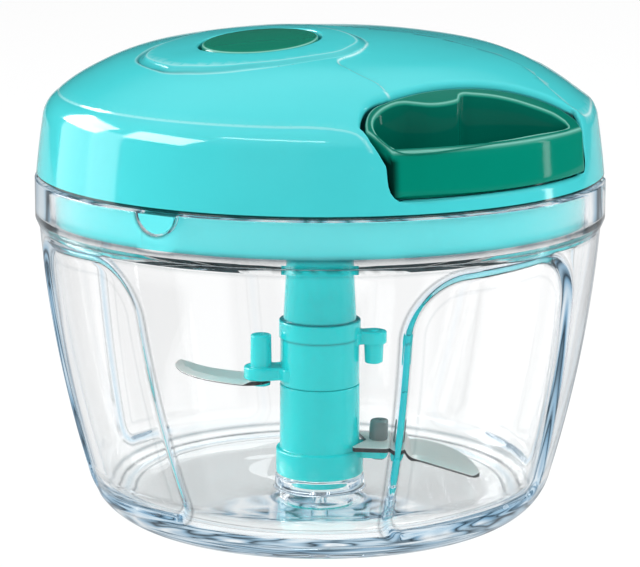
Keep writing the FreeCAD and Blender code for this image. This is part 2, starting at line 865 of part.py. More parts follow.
def make_cover():
    body = turned("cover_solid", [
        (0, s.seam_height + s.seat_gap),
        (s.edge_radius, s.seam_height + s.seat_gap),
        (s.edge_radius, s.cover_rim_height),
        (s.cover_radius, s.cover_rim_height, s.side_bow),
        (s.shoulder_radius, s.shoulder_height, s.shoulder_round),
        (s.crease_radius, s.crease_height, s.crown_round),
        (s.crown_join_radius, crown_join_height, s.crown_bow),
        (0, s.crown_height),
    ])
    inside = turned("cover_inside", [
        (0, s.skirt_bottom),
        (s.skirt_radius + s.cover_clearance, s.skirt_bottom),
        (s.skirt_radius + s.cover_clearance, s.skirt_top),
        (s.shoulder_radius - s.cover_wall, s.shoulder_height, s.shoulder_round),
        (s.crease_radius - s.cover_wall, s.crease_height - s.cover_wall / 2, s.crown_round),
        (s.crown_join_radius, crown_join_height - s.cover_wall, s.crown_bow),
        (0, s.crown_height - s.cover_wall),
    ])
    oval_cap = shared("oval_cap", turned("raised_crown", crown_profile(s.oval_rise, s.crease_height)),
                      oval_prism())
    solid = fused("cover_outside", [body, oval_cap])
    block = padded("pocket_block", pocket_outline(s.pocket_wall), s.pocket_floor - s.pocket_wall,
                   lid_ceiling - s.pocket_floor, s.pull_angle)
    badge_pad = rod("badge_pad", s.badge_radius + s.badge_gap + s.cover_wall,
                    s.badge_seat_height - s.cover_wall, lid_ceiling - s.badge_seat_height,
                    s.badge_x, s.badge_y)
    bosses = []
    pilots = []
    boss_bottom = deck_top + s.seat_gap
    for index in range(SCREW_COUNT):
        x, y = around(s.screw_circle, s.screw_angle + index * FULL_TURN / SCREW_COUNT)
        bosses.append(rod("boss_%d" % index, s.screw_boss_radius, boss_bottom,
                          s.screw_boss_top - boss_bottom, x, y))
        pilots.append(rod("pilot_%d" % index, s.screw_shank, boss_bottom, s.screw_length, x, y))
    hollow = cut("cover_hollow", inside, [block, badge_pad] + bosses)
    pocket = padded("pocket_space", pocket_outline(0), s.pocket_floor, lid_ceiling - s.pocket_floor,
                    s.pull_angle)
    badge_recess = rod("badge_recess", s.badge_radius + s.badge_gap, s.badge_seat_height,
                       lid_ceiling - s.badge_seat_height, s.badge_x, s.badge_y)
    eyelet_hole = lying_rod("eyelet_hole", s.eyelet_radius, s.pocket_back - s.pocket_wall * 2,
                            s.pocket_wall * 3, s.cord_side, s.cord_height)
    spaces = [hollow, pocket, pocket_lean(), badge_recess, eyelet_hole]
    keep(cut("cover_body", solid, spaces + pilots), "lid_top_cover")


def oval_prism():
    """Make the upright prism that bounds the raised oval."""
    ellipse = doc.addObject("Part::Ellipse", "oval_ring")
    set_size(ellipse, "MajorRadius", s.oval_half_length)
    set_size(ellipse, "MinorRadius", s.oval_half_width)
    place(ellipse, s.oval_x, s.oval_y, s.crease_height)
    prism = doc.addObject("Part::Extrusion", "oval_prism")
    prism.Base = ellipse
    prism.DirMode = "Custom"
    prism.Dir = FreeCAD.Vector(0, 0, 1)
    set_size(prism, "LengthFwd", lid_ceiling - s.crease_height)
    prism.Solid = True
    return prism


def make_badge():
    disc = rod("badge_disc", s.badge_radius, s.badge_seat_height, lid_ceiling - s.badge_seat_height,
               s.badge_x, s.badge_y)
    crown = turned("badge_crown", crown_profile(s.oval_rise, s.crease_height))
    keep(shared("badge_body", disc, crown), "badge_plate")


def make_lid_base():
    inner = s.skirt_radius - s.skirt_wall
    bore = s.journal_radius + s.running_gap
    shell = turned("base_shell", [
        (bore, s.deck_bottom),
        (inner, s.deck_bottom),
        (inner, s.skirt_bottom),
        (s.skirt_radius, s.skirt_bottom),
        (s.skirt_radius, s.skirt_top),
        (inner, s.skirt_top),
        (inner, deck_top),
        (bore + s.bearing_wall, deck_top),
        (bore + s.bearing_wall, deck_top + s.bearing_rise),
        (bore, deck_top + s.bearing_rise),
    ])
    added = [shell]
    holes = []
    for index in range(KEY_COUNT):
        side = s.key_side + index * FULL_TURN / KEY_COUNT
        reach = s.skirt_radius + s.key_reach
        added.append(key_disc("key_%d" % index, s.key_radius, s.key_top, side, reach))
    for index in range(POST_COUNT):
        x, y = around(s.post_circle, s.post_angle + index * FULL_TURN / POST_COUNT)
        added.append(rod("post_%d" % index, s.post_radius, s.deck_bottom,
                         s.case_floor_bottom - s.deck_bottom, x, y))
        holes.append(rod("post_hole_%d" % index, s.screw_shank, s.case_floor_bottom - s.screw_length,
                         s.screw_length, x, y))
    for index in range(SCREW_COUNT):
        x, y = around(s.screw_circle, s.screw_angle + index * FULL_TURN / SCREW_COUNT)
        holes.append(rod("deck_hole_%d" % index, s.screw_shank + s.seat_gap, s.deck_bottom,
                         s.deck_thickness, x, y))
        holes.append(rod("deck_sink_%d" % index, s.screw_head + s.seat_gap, s.deck_bottom,
                         s.screw_head_height, x, y))
    keep(cut("base_body", fused("base_solid", added), holes), "lid_base")


make_cover()
make_badge()
make_lid_base()


# Pull handle: a D-shaped ring that fills the pocket, its front flush with the lid's side.
def handle_plan(front_inset, back_inset, left_inset, right_inset):
    """Return the handle's plan: the pocket's plan moved in, with the lid's own curve in front."""
    back = s.pocket_back + s.handle_gap + back_inset
    back_right = s.pocket_back_right + s.handle_gap + back_inset
    left = pull_left + left_inset
    right = pull_right - right_inset
    radius = s.handle_front_radius - front_inset
    slope = (s.pocket_back_right - s.pocket_back) / (s.pocket_right - s.pocket_left)
    back_right = back_right - slope * right_inset
    front_left = (root(radius * radius - left * left), left, radius)
    front_right = (root(radius * radius - right * right), right)
    return [front_left, front_right] + pocket_back_outline(back, back_right, left, right)


def make_handle():
    plan = padded("handle_plan", handle_plan(0, 0, 0, 0), s.handle_bottom,
                  lid_ceiling - s.handle_bottom, s.pull_angle)
    top_radius = s.handle_front_radius - s.handle_front_taper
    recess = s.handle_recess
    envelope = turned("handle_envelope", [
        (0, s.handle_bottom),
        (s.handle_front_radius, s.handle_bottom),
        (top_radius, s.handle_front_top),
        (s.crease_radius, s.crease_height - recess, s.crown_round),
        (s.crown_join_radius, crown_join_height - recess),
        (0, crown_join_height - recess),
    ])
    inner = handle_plan(s.handle_front_wall, s.handle_back_wall, s.handle_left_wall,
                        s.handle_right_wall)
    opening = padded("handle_opening", inner, s.handle_bottom - s.seat_gap, lid_ceiling - s.handle_bottom,
                     s.pull_angle)
    back = s.pocket_back + s.handle_gap + s.handle_back_wall
    lobe_front = back + s.lobe_thickness
    lobe = padded("handle_lobe", [
        (back - s.handle_back_wall / 2, s.lobe_left),
        (back, s.lobe_left, s.lobe_round),
        (lobe_front, s.lobe_left + s.lobe_left_run),
        (lobe_front + s.lobe_slope, s.lobe_right),
        (back + s.handle_back_wall, s.lobe_right + s.lobe_right_run),
    ], s.handle_bottom, lid_ceiling - s.handle_bottom, s.pull_angle)
    ring = shared("handle_ring", fused("handle_walls", [cut("handle_loop", plan, [opening]), lobe]),
                  envelope)
    cord_hole = lying_rod("handle_cord_hole", s.cord_radius + s.running_gap, s.pocket_back,
                          s.pocket_wall * 4, s.cord_side, s.cord_height)
    knot_seat = s.pocket_back + s.handle_gap + s.handle_back_wall
    knot_hole = lying_rod("handle_knot_hole", s.knot_radius + s.seat_gap, knot_seat,
                          s.pocket_wall * 3, s.cord_side, s.cord_height)
    keep(cut("handle_body", ring, [cord_hole, knot_hole]), "pull_handle")


make_handle()

# Drive inside the lid: hub, ratchet pawls, cord drum, spring case and axle.
hub_disc_bottom = deck_top + s.bearing_rise + s.seat_gap
hub_disc_top = hub_disc_bottom + s.hub_disc_thickness
ratchet_top = hub_disc_top + s.ratchet_height
axle_bore = s.axle_radius + s.running_gap
groove_bottom = s.drum_bottom + s.drum_plate
groove_top = groove_bottom + s.drum_groove_width
drum_top = groove_top + s.drum_plate
case_floor_top = s.case_floor_bottom + s.case_floor_thickness
pawl_bottom = hub_disc_top + s.pawl_lift


def make_hub():
    socket_flats = s.drive_flats + s.drive_gap * 2
    solid = turned("hub_solid", [
        (0, s.hub_bottom),
        (s.journal_radius, s.hub_bottom),
        (s.journal_radius, hub_disc_bottom),
        (s.ratchet_outer_radius, hub_disc_bottom),
        (s.ratchet_outer_radius, ratchet_top),
        (0, ratchet_top),
    ])
    socket = padded("hub_socket", hexagon(socket_flats), s.hub_bottom, s.drive_length)
    teeth = []
    step = FULL_TURN / TOOTH_COUNT
    for index in range(TOOTH_COUNT):
        angle = s.ratchet_phase + index * step
        teeth.append(around(s.ratchet_root_radius, angle))
        teeth.append(around(s.ratchet_tip_radius, angle))
    crown = padded("hub_teeth", teeth, hub_disc_top, s.ratchet_height)
    bore = rod("hub_bore", axle_bore, s.hub_bottom + s.drive_length, s.ratchet_height * 2)
    keep(cut("hub_body", solid, [socket, crown, bore]), "drive_hub")


def make_pawls():
    for index in range(PAWL_COUNT):
        start = Size(index * FULL_TURN / PAWL_COUNT, repr(index * FULL_TURN / PAWL_COUNT))
        number = index + 1
        boss = rod("pawl_boss_%d" % number, s.pawl_radius, pawl_bottom, s.pawl_thickness, s.pawl_circle)
        nose = rod("pawl_nose_%d" % number, s.pawl_nose_radius, pawl_bottom, s.pawl_thickness,
                   s.pawl_nose_x, s.pawl_nose_y)
        arm = padded("pawl_arm_%d" % number, [
            (s.pawl_circle - s.pawl_radius, 0),
            (s.pawl_circle + s.pawl_radius, 0),
            (s.pawl_nose_x + s.pawl_nose_radius, s.pawl_nose_y),
            (s.pawl_nose_x - s.pawl_nose_radius, s.pawl_nose_y),
        ], pawl_bottom, s.pawl_thickness)
        hole = rod("pawl_hole_%d" % number, s.pawl_pin_radius + s.running_gap, pawl_bottom,
                   s.pawl_thickness, s.pawl_circle)
        pawl = cut("pawl_body_%d" % number, fused("pawl_solid_%d" % number, [boss, nose, arm]), [hole])
        keep(place(pawl, turn=start), "pawl_%d" % number)


def make_drum():
    plate_top = s.drum_bottom + s.drum_plate
    solid = turned("drum_solid", [
        (axle_bore, s.drum_bottom),
        (s.drum_flange_radius, s.drum_bottom),
        (s.drum_flange_radius, plate_top),
        (s.drum_groove_radius, plate_top),
        (s.drum_groove_radius, groove_top),
        (s.drum_flange_radius, groove_top),
        (s.drum_flange_radius, drum_top),
        (s.drum_hollow_outer, drum_top),
        (s.drum_hollow_outer, plate_top),
        (s.drum_hollow_inner, plate_top),
        (s.drum_hollow_inner, drum_top),
        (s.drum_neck_radius, drum_top),
        (s.drum_neck_radius, s.drum_neck_top),
        (axle_bore, s.drum_neck_top),
    ])
    sockets = []
    pins = []
    for index in range(PAWL_COUNT):
        x, y = around(s.pawl_circle, index * FULL_TURN / PAWL_COUNT)
        sockets.append(rod("pin_socket_%d" % index, s.pawl_pin_radius, s.drum_bottom, s.drum_plate, x, y))
        pins.append(rod("pawl_pin_%d" % index, s.pawl_pin_radius, pawl_bottom - s.running_gap,
                        plate_top - pawl_bottom + s.running_gap, x, y))
    keep(cut("drum_body", solid, sockets), "cord_drum")
    keep(fused("pins", pins), "pawl_pins")


def make_spring_case():
    wall_inner = s.case_radius - s.case_wall
    neck_bore = s.drum_neck_radius + s.seat_gap
    cup = turned("case_cup", [
        (neck_bore, s.case_floor_bottom),
        (s.case_radius, s.case_floor_bottom),
        (s.case_radius, s.case_top),
        (wall_inner, s.case_top),
        (wall_inner, case_floor_top),
        (neck_bore, case_floor_top),
    ])
    added = [cup]
    holes = []
    screws = []
    for index in range(POST_COUNT):
        angle = s.post_angle + index * FULL_TURN / POST_COUNT
        x, y = around(s.post_circle, angle)
        added.append(rod("foot_%d" % index, s.post_radius, s.case_floor_bottom,
                         s.case_floor_thickness, x, y))
        arm = doc.addObject("Part::Box", "foot_arm_%d" % index)
        set_size(arm, "Length", s.post_circle - wall_inner)
        set_size(arm, "Width", s.post_radius * 2)
        set_size(arm, "Height", s.case_floor_thickness)
        start_x = wall_inner * cos(angle) + s.post_radius * sin(angle)
        start_y = wall_inner * sin(angle) - s.post_radius * cos(angle)
        added.append(place(arm, start_x, start_y, s.case_floor_bottom, angle))
        holes.append(rod("foot_hole_%d" % index, s.screw_shank, s.case_floor_bottom,
                         s.case_floor_thickness, x, y))
        screws.append(screw("case_screw_%d" % index, x, y, case_floor_top, -1))
    keep(cut("case_body", fused("case_solid", added), holes), "spring_case")
    keep(fused("case_screws", screws), "spring_case_screws")
    lid_plate = rod("case_lid", s.case_radius, s.case_top, s.case_cover_thickness)
    bore = rod("case_lid_bore", s.axle_radius, s.case_top, s.case_cover_thickness)
    keep(cut("case_cover_body", lid_plate, [bore]), "spring_case_cover")


def screw(name, x, y, seat, direction):
    """Make a screw whose shank runs down (-1) or up (1) from the face its head sits on."""
    body = turned(name, [
        (0, 0),
        (s.screw_shank, 0),
        (s.screw_shank, s.screw_length - s.seat_gap),
        (s.screw_head, s.screw_length - s.seat_gap),
        (s.screw_head, s.screw_length - s.seat_gap + s.screw_head_height - s.seat_gap),
        (0, s.screw_length - s.seat_gap + s.screw_head_height - s.seat_gap),
    ])
    if direction < 0:
        return place(body, x, y, seat - s.screw_length + s.seat_gap)
    return place(body, x, y, seat + s.screw_length - s.seat_gap, 180, (1, 0, 0))


def make_lid_screws():
    seat = s.deck_bottom + s.screw_head_height
    screws = []
    for index in range(SCREW_COUNT):
        x, y = around(s.screw_circle, s.screw_angle + index * FULL_TURN / SCREW_COUNT)
        screws.append(screw("lid_screw_%d" % index, x, y, seat, 1))
    keep(fused("screws", screws), "lid_screws")


def make_axle():
    top = s.case_top + s.case_cover_thickness
    bottom = s.hub_bottom + s.drive_length + s.seat_gap
    axle = turned("axle", [
        (0, bottom),
        (s.axle_radius, bottom),
        (s.axle_radius, top),
        (s.axle_head_radius, top),
        (s.axle_head_radius, top + s.case_cover_thickness),
        (0, top + s.case_cover_thickness),
    ])
    keep(axle, "drum_axle")


make_hub()
make_pawls()
make_drum()
make_spring_case()
make_lid_screws()
make_axle()


# Spiral return spring, wound flat between the drum's neck and the case wall.
def make_return_spring():
    growth = (s.spring_outer_radius.value - s.spring_inner_radius.value) / s.spring_turns.value
    bottom = case_floor_top.value + s.spring_clearance.value
    height = s.case_top.value - s.spring_clearance.value - bottom
    steps_per_turn = 8
    outline = []
    for offset in (0, s.spring_thickness.value):
        line = []
        for index in range(int(s.spring_turns.value * steps_per_turn) + 1):
            turn = index / steps_per_turn
            radius = s.spring_inner_radius.value + growth * turn + offset
            angle = 2 * math.pi * turn
            line.append(FreeCAD.Vector(radius * math.cos(angle), radius * math.sin(angle), bottom))
        outline.append(line)
    curves = []
    for line in outline:
        curve = Part.BSplineCurve()
        curve.interpolate(line)
        curves.append(curve.toShape())
    ends = [Part.makeLine(outline[0][index], outline[1][index]) for index in (0, -1)]
    wire = Part.Wire(Part.__sortEdges__([curves[0], ends[1], curves[1], ends[0]]))
    spring = doc.addObject("Part::Feature", "spring_strip")
    spring.Shape = Part.Face(wire).extrude(FreeCAD.Vector(0, 0, height))
    keep(spring, "return_spring")


# Cord: turns on the drum, a straight lead through the eyelet, and the end knotted in the handle.
def rounded_path(points):
    """Return a wire of straight runs joined by tangent arcs as large as the runs allow."""
    edges = []
    start = points[0]
    for before, corner, after in zip(points, points[1:], points[2:]):
        arriving = (corner - before).normalize()
        leaving = (after - corner).normalize()
        half_turn = arriving.getAngle(leaving) / 2
        reach = 0.45 * min((corner - before).Length, (after - corner).Length)
        first, last = corner - arriving * reach, corner + leaving * reach
        radius = reach / math.tan(half_turn)
        inward = (leaving - arriving).normalize()
        middle = corner + inward * (radius / math.cos(half_turn) - radius)
        edges.append(Part.LineSegment(start, first).toShape())
        edges.append(Part.Arc(first, middle, last).toShape())
        print("cord bend radius mm", round(radius, 2))
        start = last
    edges.append(Part.LineSegment(start, points[-1]).toShape())
    return Part.Wire(edges)


def cord_turns(first_angle, coil_radius, bottom):
    """Return the cord's turns on the drum: arcs of up to half a turn, each a little higher."""
    turns = s.cord_turns.value
    count = math.ceil(turns * 2)
    step = math.radians(FULL_TURN) * turns / count
    rise = s.cord_pitch.value * turns / count
    spots = []
    for index in range(count + 1):
        angle = first_angle + step * index
        spots.append(FreeCAD.Vector(coil_radius * math.cos(angle), coil_radius * math.sin(angle),
                                    bottom + rise * index))
    arcs = []
    for index in range(count):
        middle = FreeCAD.Vector(0, 0, (spots[index].z + spots[index + 1].z) / 2)
        outward = (spots[index] - middle).normalize()
        forward = FreeCAD.Vector(-spots[index].y, spots[index].x, 0).normalize()
        ring = Part.Wire(Part.makeCircle(s.cord_radius.value, spots[index], forward))
        arcs.append(Part.Face(ring).revolve(middle, outward.cross(forward), math.degrees(step)))
    return arcs[0].fuse(arcs[1:])


def make_cord():
    coil_radius = s.drum_groove_radius.value + s.cord_radius.value
    pull = math.radians(s.pull_angle.value)
    out = s.pocket_back.value
    across = s.cord_side.value
    distance = math.hypot(out, across)
    leave = pull + math.atan2(across, out) - math.acos(coil_radius / distance)
    height = s.cord_height.value
    along = FreeCAD.Vector(math.cos(pull), math.sin(pull), 0)
    sideways = FreeCAD.Vector(-math.sin(pull), math.cos(pull), 0)
    eyelet = along * out + sideways * across + FreeCAD.Vector(0, 0, height)
    tangent = FreeCAD.Vector(coil_radius * math.cos(leave), coil_radius * math.sin(leave), height)
    winding = doc.addObject("Part::Feature", "winding")
    first_angle = leave - math.radians(FULL_TURN) * s.cord_turns.value
    winding.Shape = cord_turns(first_angle, coil_radius, height - s.cord_turns.value * s.cord_pitch.value)
    keep(winding, "cord_winding")
    print("cord turns gap mm", round(s.cord_pitch.value - 2 * s.cord_radius.value, 3))

    handle_face = s.pocket_back.value + s.handle_gap.value
    bend = eyelet - along * (s.pocket_wall.value * 2)
    tangent = tangent + (bend - tangent).normalize() * s.running_gap.value
    lead_end = eyelet + along * (s.handle_gap.value * 0.5)
    path = rounded_path([tangent, bend, lead_end])
    section = Part.Wire(Part.makeCircle(s.cord_radius.value, tangent, bend - tangent))
    lead = doc.addObject("Part::Feature", "lead")
    lead.Shape = path.makePipeShell([section], True, True)
    keep(lead, "cord_lead")
    print("cord lead mm", round(path.Length, 2), "volume share",
          round(lead.Shape.Volume / (math.pi * s.cord_radius.value ** 2 * path.Length), 3))

    knot_centre = handle_face + s.handle_back_wall.value + s.knot_radius.value
    knot = Part.makeSphere(s.knot_radius.value)
    knot.translate(along * knot_centre + sideways * across + FreeCAD.Vector(0, 0, height))
    stub = Part.makeCylinder(s.cord_radius.value, knot_centre - handle_face + s.handle_gap.value * 0.5,
                             lead_end, along)
    end = doc.addObject("Part::Feature", "end")
    end.Shape = knot.fuse(stub)
    keep(end, "cord_end")


def make_eyelet():
    bore = lying_rod("eyelet_bore", s.eyelet_bore, s.pocket_back - s.pocket_wall * 3,
                     s.pocket_wall * 5, s.cord_side, s.cord_height)
    tube = lying_rod("eyelet_tube", s.eyelet_radius, s.pocket_back - s.pocket_wall,
                     s.pocket_wall, s.cord_side, s.cord_height)
    flange = lying_rod("eyelet_flange", s.eyelet_flange, s.pocket_back - s.pocket_wall * 1.5,
                       s.pocket_wall * 0.5, s.cord_side, s.cord_height)
    keep(cut("eyelet_body", fused("eyelet_solid", [tube, flange]), [bore]), "cord_eyelet")


make_return_spring()
make_cord()
make_eyelet()


def check_document():
    """Stop if any object failed to compute or any sub-part has no valid solid."""
    doc.recompute()
    failed = [item.Name for item in doc.Objects if "Invalid" in item.State or "Error" in item.State]
    if failed:
        raise RuntimeError("objects that failed: " + ", ".join(failed))
    for item in nodes:
        if item.Shape.isNull() or not item.Shape.isValid() or not item.Shape.Solids:
            raise RuntimeError("no valid solid: " + item.Label)


check_document()
os.makedirs("parts", exist_ok=True)
for item in nodes:
    item.Shape.exportStep(os.path.join("parts", item.Label + ".step"))
    print(item.Label, len(item.Shape.Solids), round(item.Shape.Volume, 1))
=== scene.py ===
"""The looks of a pull-string food chopper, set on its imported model.

Sizes are in millimetres in the row's frame: the origin is the middle of the bowl's flat base, +Z is up and
the viewer stands at -Y. Meshes are written in metres.
"""

import logging
import math
from dataclasses import dataclass
from enum import Enum
from typing import Callable, Optional, Sequence, Union

import bmesh
import bpy
import numpy as np
from mathutils import Matrix, Vector
from mathutils.geometry import delaunay_2d_cdt


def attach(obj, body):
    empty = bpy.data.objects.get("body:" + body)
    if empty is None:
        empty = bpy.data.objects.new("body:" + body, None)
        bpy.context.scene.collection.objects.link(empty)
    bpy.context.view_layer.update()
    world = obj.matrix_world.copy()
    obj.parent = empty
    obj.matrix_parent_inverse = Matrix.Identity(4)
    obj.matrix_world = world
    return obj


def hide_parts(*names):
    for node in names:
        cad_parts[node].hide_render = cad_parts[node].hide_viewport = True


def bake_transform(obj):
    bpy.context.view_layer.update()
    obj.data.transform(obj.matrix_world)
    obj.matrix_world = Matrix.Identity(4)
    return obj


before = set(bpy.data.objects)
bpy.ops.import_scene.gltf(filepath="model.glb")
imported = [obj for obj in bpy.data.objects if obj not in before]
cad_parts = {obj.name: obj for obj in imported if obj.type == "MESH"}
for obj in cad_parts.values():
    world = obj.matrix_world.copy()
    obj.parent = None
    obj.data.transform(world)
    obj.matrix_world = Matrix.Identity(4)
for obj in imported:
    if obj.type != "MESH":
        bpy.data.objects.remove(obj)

LOG = logging.getLogger("food_chopper")
MM = 0.001
TURN = 2 * math.pi
Array = np.ndarray
Pair = tuple[float, float]
Place = tuple[float, float, float]
Row = tuple[float, ...]
Grain = tuple[float, Place, float]
Height = Callable[[Array], Array]
Socket = bpy.types.NodeSocket

# A bend of less than STRAIGHT radians isn't rounded, and a rounding takes up to CORNER_SHARE of a run.
# An arc's radius is at least LEAST_BEND times half its chord. Points are measured a BATCH at a time.
STRAIGHT = 0.02
CORNER_SHARE = 0.48
LEAST_BEND = 1.0001
BATCH = 2000


def smooth(low: float, high: float, values: Array) -> Array:
    """Ease values from 0 at low to 1 at high."""
    share = np.clip((values - low) / (high - low), 0, 1)
    return share * share * (3 - 2 * share)


def between(low: float, start: float, end: float, high: float, values: Array) -> Array:
    """Ease values from 0 at low to 1 at start, and back from 1 at end to 0 at high."""
    return smooth(low, start, values) * (1 - smooth(end, high, values))


def bell(gap: Array, width: float) -> Array:
    """Return 1 where a gap is 0, fading to nothing over about twice a width."""
    return np.exp(-(gap / width) ** 2)


def turned_from(side: float, angles: Array) -> Array:
    """Return how far angles are turned from a side in degrees, up to half a turn either way."""
    return (angles - math.radians(side) + math.pi) % TURN - math.pi


def circle(angles: Array) -> Array:
    """Return the places at angles on a circle of radius 1."""
    return np.column_stack((np.cos(angles), np.sin(angles)))


def shaded(places: Array, shade: Union[float, Array]) -> Array:
    """Return tints that only add painted shade to places, by one amount or by an amount for each."""
    tint = np.zeros(places.shape[:-1] + (4,))
    tint[..., 1] = shade
    return tint


def level(height: float) -> Height:
    """Return a plane that has one height at every plan place."""
    return lambda places: np.full(len(places), height)


class Profile:
    """A line of runs and arcs in a plane, with the corners rounded where a radius is given."""

    def __init__(self, x: float, y: float, rounding: float = 0.0) -> None:
        """Start the line at a point, whose corner is rounded where the line is closed to a loop."""
        self.corners: list[Place] = [(x, y, rounding)]

    def to(self, x: float, y: float, rounding: float = 0.0) -> "Profile":
        """Run straight to a point, whose corner takes a rounding, and return the profile itself."""
        self.corners.append((x, y, rounding))
        return self

    def arc(self, x: float, y: float, radius: float, steps: int = 12, rounding: float = 0.0) -> "Profile":
        """Run along an arc to a point.

        Args:
            x: the point's place along the first axis.
            y: the point's place along the second axis.
            radius: the arc's radius, positive where it bulges left of the way.
            steps: the number of pieces that the arc is cut into.
            rounding: the radius of the corner at the point.

        Returns:
            The profile itself.
        """
        start = np.array(self.corners[-1][:2])
        end = np.array((x, y))
        chord = end - start
        half = float(np.hypot(*chord)) / 2
        size = max(abs(radius), half * LEAST_BEND)
        left = np.array((-chord[1], chord[0])) / (2 * half)
        side = math.copysign(1.0, radius)
        centre = (start + end) / 2 - left * side * math.sqrt(size * size - half * half)
        first = math.atan2(start[1] - centre[1], start[0] - centre[0])
        last = math.atan2(end[1] - centre[1], end[0] - centre[0])
        sweep = (last - first + math.pi) % TURN - math.pi
        for index in range(1, steps):
            angle = first + sweep * index / steps
            self.corners.append((centre[0] + size * math.cos(angle), centre[1] + size * math.sin(angle), 0.0))
        self.corners.append((x, y, rounding))
        return self

    def line(self, steps: int = 5) -> Array:
        """Return the points of the whole line.

        Args:
            steps: the number of pieces that each rounded corner is cut into.

        Returns:
            An array of points.
        """
        points = [self.corners[0][:2]]
        for before, corner, after in zip(self.corners, self.corners[1:], self.corners[2:]):
            points.extend(rounded_corner(before, corner, after, corner[2], steps))
        points.append(self.corners[-1][:2])
        return np.array(points, float)

    def loop(self, steps: int = 5) -> Array:
        """Return the points of the line as a closed loop, its last corner joined to its first.

        Args:
            steps: the number of pieces that each rounded corner is cut into.

        Returns:
            An array of points without a repeated last one.
        """
        points = []
        count = len(self.corners)
        for index, corner in enumerate(self.corners):
            before, after = self.corners[index - 1], self.corners[(index + 1) % count]
            points.extend(rounded_corner(before, corner, after, corner[2], steps))
        return np.array(points, float)


def rounded_corner(before: Sequence[float], corner: Sequence[float], after: Sequence[float],
                   radius: float, steps: int) -> list[Pair]:
    """Return the points that stand for one corner.

    Args:
        before: the point ahead of the corner.
        corner: the corner.
        after: the point behind the corner.
        radius: the corner's radius.
        steps: the number of pieces of its arc.

    Returns:
        The corner alone, or the points of its arc.
    """
    if radius <= 0:
        return [(corner[0], corner[1])]
    middle = Vector(corner[:2])
    arriving, leaving = (Vector(before[:2]) - middle), (Vector(after[:2]) - middle)
    angle = arriving.angle(leaving, math.pi)
    if angle > math.pi - STRAIGHT:
        return [(corner[0], corner[1])]
    reach = min(radius / math.tan(angle / 2), arriving.length * CORNER_SHARE, leaving.length * CORNER_SHARE)
    size = reach * math.tan(angle / 2)
    arriving.normalize()
    leaving.normalize()
    centre = middle + (arriving + leaving).normalized() * (size / math.sin(angle / 2))
    first, last = middle + arriving * reach - centre, middle + leaving * reach - centre
    start = math.atan2(first.y, first.x)
    sweep = (math.atan2(last.y, last.x) - start + math.pi) % TURN - math.pi
    angles = [start + sweep * index / steps for index in range(steps + 1)]
    return [(centre.x + size * math.cos(a), centre.y + size * math.sin(a)) for a in angles]


def curved(points: Sequence[Sequence[float]], spacing: float, closed: bool = False) -> Array:
    """Return a smooth line through points.

    Args:
        points: the points that the line passes through.
        spacing: about how far apart the line's own points are.
        closed: whether the line returns to its first point.

    Returns:
        An array of points, without a repeated last one where closed.
    """
    knots = np.array(points, float)
    count = len(knots)
    result = []
    for index in range(count if closed else count - 1):
        if closed:
            a, b, c, d = (knots[(index + shift) % count] for shift in (-1, 0, 1, 2))
        else:
            b, c = knots[index], knots[index + 1]
            a = knots[index - 1] if index else 2 * b - c
            d = knots[index + 2] if index + 2 < count else 2 * c - b
        steps = max(1, round(float(np.hypot(*(c - b))) / spacing))
        for step in range(steps):
            t = step / steps
            result.append(0.5 * (2 * b + (c - a) * t + (2 * a - 5 * b + 4 * c - d) * t * t
                                 + (3 * b - a - 3 * c + d) * t ** 3))
    if not closed:
        result.append(knots[-1])
    return np.array(result)


def spaced(line: Array, spacing: float, closed: bool = True) -> Array:
    """Divide the long runs of a line.

    Args:
        line: the line's points.
        spacing: the longest run that is left.
        closed: whether the line returns to its first point.

    Returns:
        The line with more points.
    """
    result = []
    for start, end in zip(line, np.roll(line, -1, axis=0) if closed else line[1:]):
        steps = max(1, math.ceil(float(np.hypot(*(end - start))) / spacing))
        result.extend(start + (end - start) * step / steps for step in range(steps))
    if not closed:
        result.append(line[-1])
    return np.array(result)


def beside(line: Array, offset: float, closed: bool) -> Array:
    """Return a line's points moved to its left.

    Args:
        line: the line's points.
        offset: how far they move.
        closed: whether the line returns to its first point.

    Returns:
        The moved points.
    """
    if closed:
        along = np.roll(line, -1, axis=0) - np.roll(line, 1, axis=0)
    else:
        along = np.gradient(line, axis=0)
    along /= np.hypot(along[:, 0], along[:, 1])[:, None]
    return line + np.stack((-along[:, 1], along[:, 0]), axis=1) * offset


def distance(points: Array, line: Array, closed: bool) -> tuple[Array, Array]:
    """Measure points against a line.

    Args:
        points: the points to measure.
        line: the line's points.
        closed: whether the line returns to its first point.

    Returns:
        The distance of each point, positive left of the line, and the number of its nearest run.
    """
    ends = np.roll(line, -1, axis=0) if closed else line[1:]
    starts = line if closed else line[:-1]
    runs = ends - starts
    squares = np.maximum((runs ** 2).sum(1), 1e-12)
    far = np.empty(len(points))
    nearest = np.empty(len(points), int)
    for first in range(0, len(points), BATCH):
        part = points[first:first + BATCH, None, :] - starts[None]
        share = np.clip((part * runs).sum(2) / squares, 0, 1)
        gap = part - share[..., None] * runs
        lengths = (gap ** 2).sum(2)
        best = lengths.argmin(1)
        row = np.arange(len(best))
        side = runs[best, 0] * part[row, best, 1] - runs[best, 1] * part[row, best, 0]
        far[first:first + BATCH] = np.sqrt(lengths[row, best]) * np.where(side < 0, -1, 1)
        nearest[first:first + BATCH] = best
    if closed:
        turns_left = area(line) > 0
        far = np.abs(far) * np.where(encloses(points, line) == turns_left, 1, -1)
    return far, nearest


def area(loop: Array) -> float:
    """Return a closed loop's area, negative where it runs to the right."""
    after = np.roll(loop, -1, axis=0)
    return float((loop[:, 0] * after[:, 1] - after[:, 0] * loop[:, 1]).sum()) / 2


def leftward(loop: Array) -> Array:
    """Return a closed loop run to the left."""
    return loop if area(loop) > 0 else loop[::-1]


